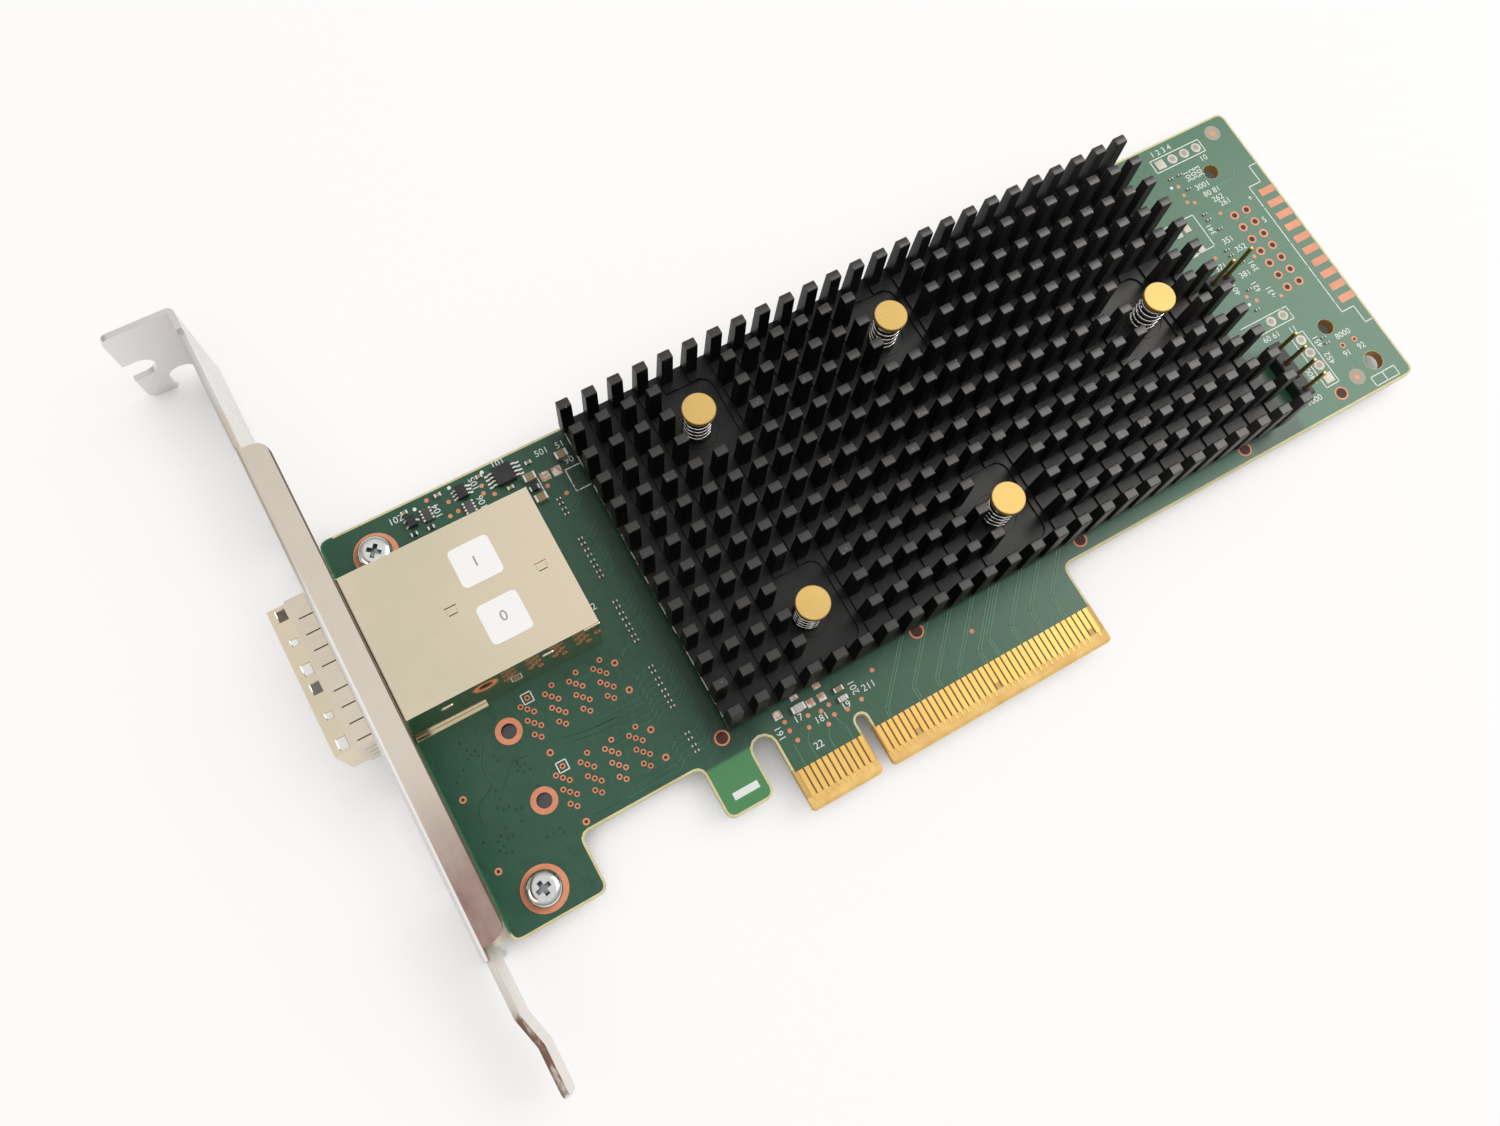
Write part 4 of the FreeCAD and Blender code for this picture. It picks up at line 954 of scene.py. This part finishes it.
# board: round holes, eased tongue corners
boardSizes = {"corner": 0.7, "corners": ((-12.65, 1), (-0.95, -1), (0.95, 1), (39.65, -1))}
boardHoles = (
    (-45.05, 30.9, 1.12), (-45.05, 19.86, 1.12), (101.84, 59.85, 1.36), (101.84, 26.7, 1.36), (105.4, 18.05, 1.66),
)


def buildBoard(s):
    board = fromNode("circuit_board", "laminateBoard")
    for x, y, radius in boardHoles[:4]:
        carve(board, addBar("drill", (x, y), boardUnder - 1, 1, radius, 40))
    size = s.corner
    for x, side in s.corners:
        left, right = sorted((x - side, x + size * side))
        cutter = addBlock("cornerCut", (left, -1, boardUnder - 1), (right, size, 1))
        carve(cutter, addBar("cornerRound", (x + size * side, size), boardUnder - 2, 2, size, 40))
        carve(board, cutter)

    def isWall(centre, normal):
        near = any((centre.xy - Vector((x, y))).length < radius + 0.05 for x, y, radius in boardHoles)
        return near and abs(normal.z) < 0.3

    twoTone(board, "laminate", "drilled", isWall)
    done(board, None, "board", "circuit_board")


buildBoard(Values(**boardSizes))
print("board cut")

# gold fingers: full width, then a thin neck towards the tip
fingerSizes = {
    "half": 0.38, "top": 6.15, "shoulder": 2.2, "neckTop": 1.93, "neckEnd": 1.29, "neck": 0.4, "short": 3,
    "thick": 0.05, "shorts": (6.5, 20.5, 37.5), "corner": 0.2, "ease": 0.015,
}
fingerSpots = [-1.5 - index for index in range(11)] + [1.5 + index for index in range(38)]


def buildFingers(s):
    half, short, end = s.half, s.short, (s.half, s.top, s.thick)
    finger = addBlock("finger", (-half, s.shoulder, 0), end)
    facing(finger, footward)
    pull(y=s.neckTop - s.shoulder)
    grow(s.neck, 1)
    pull(y=s.neckEnd - s.neckTop)
    stub = addBlock("shortFinger", (-half, short, 0), end)
    choose(stub, "edges", lambda a, b: abs(a.z - b.z) > 0.01 and a.y < short + 0.1)
    roundOff(s.corner, 2)
    soften(stub, s.ease)
    soften(finger, s.ease)
    places = [placed(x, 0) for x in fingerSpots if x not in s.shorts]
    places += [placed(x, 0) @ turnedOver("Y") for x in fingerSpots]
    stubs = repeat(stub, "shortFingers", [(x, 0) for x in s.shorts])
    fingers = joinUp("goldFingers", [repeat(finger, "longFingers", places), stubs])
    done(fingers, "gold", "gold", "edge_contacts")


buildFingers(Values(**fingerSizes))
print("fingers plated")

# solder mask on both faces, drawn back from the board's edge
maskSizes = {
    "back": 0.34, "contactLine": 5.8, "tongue": (-12.7, 39.7), "faces": ((0, 1), (boardUnder, -1)), "clear": 0.06,
}
headerSpots = [(90, 18.98 + 2.54 * index) for index in range(4)] + [(87.66, 41.4), (90.2, 41.4)]
maskHoles = [(x, y, 2.1) for x, y, degrees in screwSpots] + [(x, y, 1.8) for x, y in pinSpots]
maskHoles += [(x, y, radius + 0.4) for x, y, radius in boardHoles] + [(x, y, 0.8) for x, y in headerSpots]


def buildMask(s):
    sheets = []
    low, high = s.tongue
    for level, side in s.faces:
        sheet = fromNode("circuit_board", "maskSheet")
        choose(sheet, "faces", lambda centre, normal: abs(centre.z - level) > 0.01 or normal.z * side < 0.9)
        edit.delete(type="FACE")
        for x, y, reach in maskHoles:
            spot = Vector((x, y))
            if choose(sheet, "edges", lambda *ends: all((end.xy - spot).length < reach for end in ends)):
                edit.edge_face_add()
        everything(sheet)
        mergeFlats()
        edit.select_all(action="SELECT")
        edit.bisect(plane_co=(0, s.contactLine * mm, 0), plane_no=(0, 1, 0))
        choose(sheet, "faces", lambda centre, normal: centre.y < s.contactLine and low < centre.x < high)
        edit.delete(type="FACE")
        everything(sheet)
        edit.inset(thickness=s.back * mm, use_boundary=True, use_even_offset=True)
        edit.select_all(action="INVERT")
        edit.delete(type="FACE")
        everything(sheet)
        pull(z=maskTop * side)
        faceOut()
        for x, y, radius in boardHoles:
            carve(sheet, addBar("clearance", (x, y), level - 1, level + 1, radius + s.clear, 40))
        sheets.append(sheet)
    done(joinUp("solderMask", sheets), "mask", "board")


buildMask(Values(**maskSizes))
print("mask laid")

# tracks under the mask: ridges and closed vias, pairs from the tongue and the coupling parts, lines at the far end
trackSizes = {
    "line": 0.2, "gap": 0.42, "lag": 0.42, "slope": 0.92, "tongueLine": 6.4, "sinkEdge": 16.4, "ridge": 0.14,
    "tent": 0.24, "tentHeight": 0.02, "fanLine": 34.5, "tailEdge": 106.9,
    "inward": ((-22.7, 0), (-21.6, 0), (-19.5, 1.9), (-17, 1.9)), "outward": ((-23.5, 0), (-25, 0), (-26.2, -1.1)),
    "fanEnd": (-29, -1.9, -1.1),
}
tonguePairs = (
    (3.75, 7.6), (9, 8.6), (12.7, 8), (16.2, 7.4), (20.5, 8.4), (22.8, 9.6), (26.9, 9.4), (30.8, 10), (34.9, 10.4),
)
stubPaths = (
    ((-10.5, 6.4), (-10.5, 9.6)), ((-8.5, 6.4), (-8.5, 9.2), (-7.7, 10.2)), ((-5.5, 6.4), (-5.5, 8.2), (-4.8, 9.2)),
    ((-2.5, 6.4), (-2.5, 8.6), (-3.1, 9.4), (-3.1, 10.3)),
)
couplerRows = (
    58.67, 57.83, 56.9, 56, 51.57, 50.67, 49.57, 48.67, 47.67, 46.77, 45.8, 44.93, 40.57, 39.63, 38.57, 37.63, 36.57,
    35.7, 34.77, 33.9, 29.5, 28.63, 27.5, 26.6, 25.57, 24.67, 23.73, 22.9, 18.5, 17.6, 16.5, 15.6,
)
tailLines = ((52.43, 98.8), (49.89, 98.2), (42.27, 99.1), (37.19, 93.4), (34.65, 98.8), (29.57, 104.4))
tailPaths = (
    ((98.6, 57.2), (104.6, 57.2), (106.2, 58.8), (106.2, 64)), ((93.6, 33.6), (96.4, 33.6), (99.2, 30.4)),
    ((102.4, 22.1), (102.4, 19.2), (98.6, 16.9)), ((92.4, 46.1), (94.6, 48.6), (94.6, 51)),
)
reliefPaths = (
    ((-48.3, 33.8), (-49.1, 33), (-49, 30.7), (-50.5, 28.3), (-50.4, 25.1), (-53, 23.7), (-53.6, 22.5), (-53.9, 19.1)),
    ((-44.2, 26.6), (-46.6, 26.8), (-49.2, 24.1)), ((-39, 26.5), (-35, 25.6), (-30.6, 25.4)),
    ((-37.7, 25.3), (-34.2, 24.6), (-30.9, 24.5)), ((-39.6, 14.7), (-36.1, 14.6)),
)
tentedVias = (
    (-51.3, 31.3), (-51.1, 30.4), (-50.4, 30.7), (-51.7, 30.1), (-50.3, 29.8), (-48.4, 28.8), (-48.2, 28),
    (-46, 26.3), (-45.8, 25.6), (-45.1, 25.7), (-46.4, 25.3), (-45.7, 24.8), (-44.8, 24.7), (-51, 24.8),
    (-50.3, 24.3), (-50.2, 22.9), (-51.1, 22), (-50.5, 21.4), (-49.6, 21.4), (-49, 20.6), (-48.2, 20.4),
    (-51.3, 19.1), (-52.3, 18.4), (-51.7, 17.7), (-50.9, 17.7), (-53.1, 17.9), (-52.6, 17), (-53.4, 16.7),
    (-52.8, 16), (-51.9, 15.7), (-54.8, 18.8), (-45.9, 15.2), (-44.9, 15.4), (-44.6, 14.7), (-46.9, 15.2),
    (-44.9, 22.1), (-49, 18.8), (-51.8, 32.6), (-54.4, 27.8), (-52.9, 29),
)


def buildTracks(s):
    tent = addBar("tentedVia", (0, 0), maskTop, maskTop + s.tentHeight, s.tent, 10)
    facing(tent, up)
    grow(0.5, 0.5)
    tents = repeat(tent, "tentedVias", tentedVias)
    # raised lines and tented vias use the darker mask: painted shade
    shadedRelief = joinUp("maskRelief", [strokes("reliefLines", s.ridge, paths(reliefPaths)), tents])
    done(shadedRelief, "shadedRelief", "board")
    lines = []
    edge = s.sinkEdge
    for pairX, y in tonguePairs:
        for shift in (0, s.gap):
            x, bend = pairX + shift, y - shift * s.lag
            lines += path((x, s.tongueLine), (x, bend), (x + (edge - bend) * s.slope, edge))
    lines += paths(stubPaths)
    first, step, fall = s.fanEnd
    for index, y in enumerate(couplerRows):
        lines += path(*[(x, y + rise) for x, rise in s.inward])
        if y < s.fanLine:
            outward = [(x, y + rise) for x, rise in s.outward]
            lines += path(*outward, (first + index % 4 * step, y + fall))
    for y, left in tailLines:
        lines += path((s.tailEdge, y), (left, y), (left - 2.2, y + 1.3))
    lines += paths(tailPaths)
    done(strokes("maskTracks", s.line, lines), "track", "board")


buildTracks(Values(**trackSizes))
print("tracks drawn")

# coupling capacitors: one tiny part, copied down the lanes and to the far end
couplerSizes = {"x": -23.1, "part": (0.37, 0.18, 0.34), "end": 0.2, "ease": 0.04}
tailParts = (
    (94.5, 61.8), (96.4, 61.8), (96.17, 58.83), (95.8, 53.5), (95.8, 52.3), (96.6, 50), (95.2, 46.1), (95.3, 44.9),
    (96.2, 43), (94.2, 38.3), (93.2, 34.6), (100.2, 24.2), (100.2, 25.3),
)


def buildCouplers(s):
    part = addOnMask("coupler", *s.part)
    for x in (-s.end, s.end):
        everything(part)
        edit.bisect(plane_co=(x * mm, 0, 0), plane_no=(1, 0, 0))
    soften(part, s.ease)
    twoTone(part, "network", "brightTin", lambda centre, normal: abs(centre.x) > s.end)
    spots = [(s.x, y) for y in couplerRows] + list(tailParts)
    done(repeat(part, "couplingParts", spots), None, "capacitor_ceramic")


buildCouplers(Values(**couplerSizes))
print("coupling capacitors placed")

# bare copper: rings round holes, vias, sight marks, test dots, edge pads
copperSizes = {
    "top": 0.04, "dip": 0.012, "dot": 0.36, "dotEase": 0.01, "pad": (1.47, 0.66, 0.04), "padEase": 0.008,
    "pads": [(108.58, 52.43 - 2.54 * index) for index in range(10)],
}
ringSpots = (
    (-50.35, 9.2, 3.35, 1.7), (-50.35, 63.4, 3.35, 1.7), (-45.05, 30.9, 1.95, 1.14), (-45.05, 19.86, 1.95, 1.14),
)
toolingSpots = ((-19.06, 15.5), (14.06, 15.4), (44.1, 15.5), (76.4, 15.4), (96.8, 15.8))
viaGroup = (
    (0, 0), (-1.4, -0.74), (-0.7, -1.48), (0, -2.22), (-1.4, -2.97), (-0.7, -3.71), (0, -4.45), (-1.4, -5.2),
    (-0.7, -5.95),
)
viaSpots = [
    (-40.68 + 3.85 * group + x, 33.94 - 11.05 * line + y)
    for line in range(2) for group in range(4) for x, y in viaGroup
]
wideVias = (
    (-27.4, 32.5), (-27.4, 28), (-41.34, 25.4), (-27.4, 21.45), (-27.4, 16.95), (-54.8, 25.35), (-54.8, 14.3),
    (-41.3, 14.45), (-54.95, 36.3), (102.37, 22.63), (104.87, 22.63),
)
postSpots = [(103 - 2.54 * column, 50.95 - 2.54 * line) for column in range(2) for line in range(7)]
ringRows = {
    "toolingRings": (1.17, 0.9, 24, toolingSpots), "viaRings": (0.42, 0.23, 10, viaSpots),
    "wideViaRings": (0.52, 0.27, 14, wideVias), "postRings": (0.8, 0.47, 20, postSpots),
    "sightMarks": (1.45, 0.5, 36, ((106.67, 66.1), (101.03, 16.93))),
}
dotSpots = (
    (-40.45, 67.64), (-37.67, 65.92), (-38.4, 63.78), (-37.02, 63.96), (-32.27, 65.96), (-32.54, 64.74),
    (-31.14, 63.89), (-23.61, 61.38), (-21.63, 59.03), (-10.02, 13.12), (-10.01, 11.68), (-9.67, 9.96),
    (-6.56, 12.32), (-7.29, 10.74), (-4.58, 11.95), (-3.11, 12.23), (-3.12, 10.6), (-4.56, 9.78), (-1.03, 10.34),
    (1.55, 10.6), (5.12, 13.55), (94.9, 60), (94.83, 58.17), (94.53, 56.8), (95.67, 56.17), (98.5, 52.43),
    (92.57, 45.8), (98.83, 42.97), (93.07, 37.37), (94.2, 36.1), (98.53, 34.87), (21.4, 11.4),
)


def buildCopper(s):
    top = s.top
    rings = []
    for x, y, outer, inner in ringSpots:
        ring = addBar("holeRing", (x, y), maskTop, top, outer, 48)
        rings.append(carve(ring, addBar("ringHole", (x, y), -1, 1, inner, 48)))
    done(joinUp("holeRings", rings), "copper", "gold")
    for name, (outer, inner, sides, spots) in ringRows.items():
        piece = addBar(name, (0, 0), maskTop, top, outer, sides)
        facing(piece, up)
        inset(outer - inner)
        pull(z=-s.dip)
        places = [placed(x, y) for x, y in spots]
        finishes = ("clearing", "copper")
        if name != "sightMarks":
            # ring centres get the dark disc: painted shade in the hole
            finishes = ("copper", "holeShade")
            places += [placed(x, y) @ turnedOver("X") for x, y in spots]
        twoTone(piece, *finishes, lambda centre, normal: normal.z > 0.9 and centre.xy.length < inner * 0.5)
        done(repeat(piece, name, places), None, "gold")
    dot = addBar("testDot", (0, 0), maskTop, top, s.dot, 10)
    soften(dot, s.dotEase)
    done(repeat(dot, "testDots", dotSpots), "copper", "gold")
    pad = addOnMask("edgePad", *s.pad)
    soften(pad, s.padEase)
    done(repeat(pad, "edgePads", s.pads), "copper", "gold")


buildCopper(Values(**copperSizes))
print("copper laid")

# tinned pads left open on the board, and solder at the header pins underneath
padSizes = {
    "discTop": 0.06, "disc": 0.9, "discRim": 0.38, "discRise": 0.05, "square": (0.75, 0.75, 0.08),
    "squareRim": 0.25, "squareRise": 0.06, "cone": 0.85, "coneTip": 0.52, "coneEnds": (-0.75, -0.02), "coneEase": 0.15,
}
discSpots = [(94.63 + 2.54 * index, 65) for index in range(1, 4)]
discSpots += [(96.53, 26.67 - 2.54 * index) for index in range(3)] + [(94.03, 31.77), (96.57, 31.77)]
squarePads = (
    (-23.22, 62.92, 1), (-21.3, 62.89, 1), (-10.5, 14.47, 0.85), (-5.34, 13.72, 0.8), (-3.45, 13.71, 0.8),
    (-3.34, 15.69, 0.8), (-7.09, 15.79, 0.8), (-10.56, 17.27, 0.8), (94.63, 65, 1.15), (96.53, 19.05, 1.15),
    (91.4, 52.6, 0.85), (89.5, 52.3, 0.85), (91.4, 48.3, 0.85), (89.6, 48.1, 0.85),
)


def buildTinned(s):
    disc = addBar("tinDisc", (0, 0), maskTop, s.discTop, s.disc, 28)
    facing(disc, up)
    inset(s.discRim)
    lift(s.discRise)
    twoTone(disc, "padTin", "dullTin", lambda centre, normal: normal.z > 0.9 and centre.xy.length < 0.1)
    done(repeat(disc, "tinDiscs", discSpots), None, "tin")
    square = addOnMask("tinSquare", *s.square)
    facing(square, up)
    inset(s.squareRim)
    lift(s.squareRise)
    places = [placed(x, y) @ Matrix.Diagonal((size, size, 1, 1)) for x, y, size in squarePads]
    squares = repeat(square, "tinSquares", places)
    twoTone(squares, "padTin", "soldered", lambda centre, normal: centre.x < 0)
    done(squares, None, "tin")
    low, high = [boardUnder + depth for depth in s.coneEnds]
    cone = addBar("solderCone", (0, 0), low, high, s.cone, 24)
    facing(cone, down)
    grow(s.coneTip, s.coneTip)
    choose(cone, "edges", lambda a, b: max(a.z, b.z) < low + 0.05)
    roundOff(s.coneEase, 2)
    done(repeat(cone, "headerSolder", headerSpots), "tin", "tin")


buildTinned(Values(**padSizes))
print("tinned pads laid")

# white legend: frames, lines, a bar, dots and plain numbers
legendSizes = {
    "line": 0.17, "number": 1.05, "bar": (-21.67, 6.83, -17.63, 7.92), "barEase": 0.005, "dot": 0.3, "dotEase": 0.004,
}
legendFrames = (
    (-41.43, 33.19, -39.93, 34.69), (-41.43, 22.14, -39.93, 23.64), (93.2, 63.77, 103.53, 66.27),
    (95.17, 17.73, 97.83, 27.93), (103, 14, 107.9, 15.7),
)
legendPaths = (
    (
        (110, 57.73), (108.6, 57.73), (108.6, 54.33), (106.1, 54.33), (106.1, 27.6), (108.6, 27.6), (108.6, 24.27),
        (110, 24.27),
    ),
    ((88, 54.4), (93.9, 54.4), (93.9, 47.8), (88, 47.8)), ((88.5, 32.93), (98, 32.93), (98, 30.5), (88.5, 30.5)),
    ((-16.5, 62.4), (-20.15, 62.4), (-20.15, 58.6), (-16.5, 58.6)), ((-24.4, 64.5), (-24.4, 59.3)),
    ((105.4, 14), (105.4, 15.7)),
)
legendDots = ((105, 52.5), (93.7, 60.33), (92.6, 36), (-42.56, 67.19), (-36.67, 67.9), (-31.31, 67.88))
legendNumbers = (
    ("1 2 3 4", 96.2, 67.2, 0), ("10", 102.3, 62.7, 0), ("301", 97.7, 60.9, 90), ("302", 98.9, 60.9, 90),
    ("303", 100.1, 60.9, 90), ("3001", 98.9, 58.3, 0), ("80 81", 99.7, 56.6, 0), ("261", 100.6, 53.9, 0),
    ("262", 99.9, 55.1, 0), ("5", 104.7, 47.9, 0), ("341", 95.2, 50.6, 90), ("351", 96.6, 47.6, 0),
    ("352", 97.7, 45.4, 0), ("371", 92.4, 43.9, 0), ("381", 95.4, 41, 0), ("391", 97.7, 41.6, 90),
    ("401", 92.2, 39.4, 90), ("421", 95.7, 38.2, 90), ("431", 97.4, 36.3, 90), ("60 61", 92.4, 29.4, 0),
    ("11", 96.5, 28.9, 0), ("4400", 94.2, 20.6, 90), ("451", 99, 25.2, 90), ("452", 99, 21.8, 90),
    ("8000", 103.7, 24.3, 0), ("91", 102.2, 21.1, 0), ("92", 105.2, 21.1, 0), ("7000", 92, 16.9, 0),
    ("101", -28.6, 68.1, 0), ("102", -45.7, 66.9, 0), ("104", -39.7, 65.4, 90), ("105", -33.1, 66.8, 90),
    ("106", -33.3, 63.6, 90), ("501", -22, 66.7, 0), ("51", -19, 66.5, 0), ("90", -18.9, 63.6, 0),
    ("2", -26.2, 41.4, 0), ("161", -11.4, 12, 90), ("17", -8, 12.6, 0), ("181", -5, 11, 0), ("19", -0.9, 10.9, 0),
    ("201", 1.4, 12.7, 90), ("211", 3.5, 11.8, 0), ("22", -7.3, 7.9, 0),
)


def buildLegend(s):
    top = maskTop + printThick
    lines = [line for corners in legendFrames for line in boxPath(*corners)] + paths(legendPaths)
    pieces = [strokes("legendLines", s.line, lines)]
    left, low, right, high = s.bar
    pieces.append(soften(addBlock("legendBar", (left, low, maskTop), (right, high, top)), s.barEase))
    dot = addBar("legendDot", (0, 0), maskTop, top, s.dot, 16)
    soften(dot, s.dotEase)
    pieces.append(repeat(dot, "legendDots", legendDots))
    for word, x, y, degrees in legendNumbers:
        pieces.append(lettering("legendNumber", word, s.number, placed(x, y, maskTop + printRise, degrees)))
    done(joinUp("boardLegend", pieces), "silk", "label_film")


buildLegend(Values(**legendSizes))
print("legend printed")

# solder side: via field behind the controller, its fan-out lines and a plain legend
underSizes = {
    "centre": (16.7, 41.4), "pitch": 1.15, "reach": 11, "via": 0.25, "viaTop": 0.035, "viaEase": 0.006, "parts": 3.6,
    "clear": 1, "track": 0.22, "line": 0.17, "frame": 14.2, "number": 1.3,
}
underNumbers = (
    ("1", 0.6, 56.6), ("2", 32.8, 56.6), ("3", 0.6, 26.2), ("4", 32.8, 26.2), ("601", -30, 62), ("602", 60, 62),
    ("603", 60, 20), ("604", 88, 46), ("0 1 2 3", 93, 22.8),
)


def buildUnderside(s):
    flip = turnedOver("X")
    middleX, middleY = s.centre
    steps = [index * s.pitch for index in range(-s.reach, s.reach + 1)]
    marks = [s.parts * (index - 1.5) for index in range(4)]
    spots = []
    for x in steps:
        for y in steps:
            if not any(abs(x - a) < s.clear and abs(y - b) < s.clear for a in marks for b in marks):
                spots.append(flip @ placed(middleX + x, -middleY - y))
    via = addBar("fieldVia", (0, 0), maskTop, s.viaTop, s.via, 8)
    soften(via, s.viaEase)
    done(repeat(via, "viaField", spots), "copper", "gold")
    lines = []
    for index in range(12):
        start, end = 31 + 1.9 * index, 22 + 3.1 * index
        lines += path((2.6, -start), (-5.5 - 0.4 * index, -start), (-14.5, -end), (-25 - 0.8 * (index % 3), -end))
        x = 6 + 1.9 * index
        lines += path((x, -27.5), (x, -19.5 + 0.3 * index), (x * 1.3 - 4, -11.5), (x * 1.3 - 4, -6.6))
    tracks = strokes("underTracks", s.track, lines)
    tracks.data.transform(flip)
    done(tracks, "track", "board")
    reach = s.frame
    corners = (middleX - reach, -middleY - reach, middleX + reach, -middleY + reach)
    border = strokes("underFrame", s.line, boxPath(*corners))
    border.data.transform(flip)
    pieces = [border]
    for word, x, y in underNumbers:
        pieces.append(lettering("underNumber", word, s.number, flip @ placed(x, -y, maskTop + printRise)))
    done(joinUp("underLegend", pieces), "silk", "label_film")


buildUnderside(Values(**underSizes))
print("solder side drawn")

# port labels: rounded film with plain port numbers
labelSizes = {
    "centre": -38.3, "rows": ((42.6, "0", 0.2), (51.5, "1", 0)), "half": 3, "corner": 0.75, "low": 12.5, "high": 12.6,
    "digit": 1.54, "inkRise": 0.001,
}


def buildLabels(s):
    x, half, labels, digits = s.centre, s.half, [], []
    for y, word, rise in s.rows:
        label = addBlock("label", (x - half, y - half, s.low), (x + half, y + half, s.high))
        choose(label, "edges", lambda a, b: abs(a.z - b.z) > 0.05)
        roundOff(s.corner, 5)
        labels.append(label)
        digits.append(lettering("portDigit", word, s.digit, placed(x, y + rise, s.high + s.inkRise)))
    done(joinUp("portLabels", labels), "label", "label_film", "port_labels")
    done(joinUp("portDigits", digits), "ink", "label_film")


buildLabels(Values(**labelSizes))
print("labels stuck")
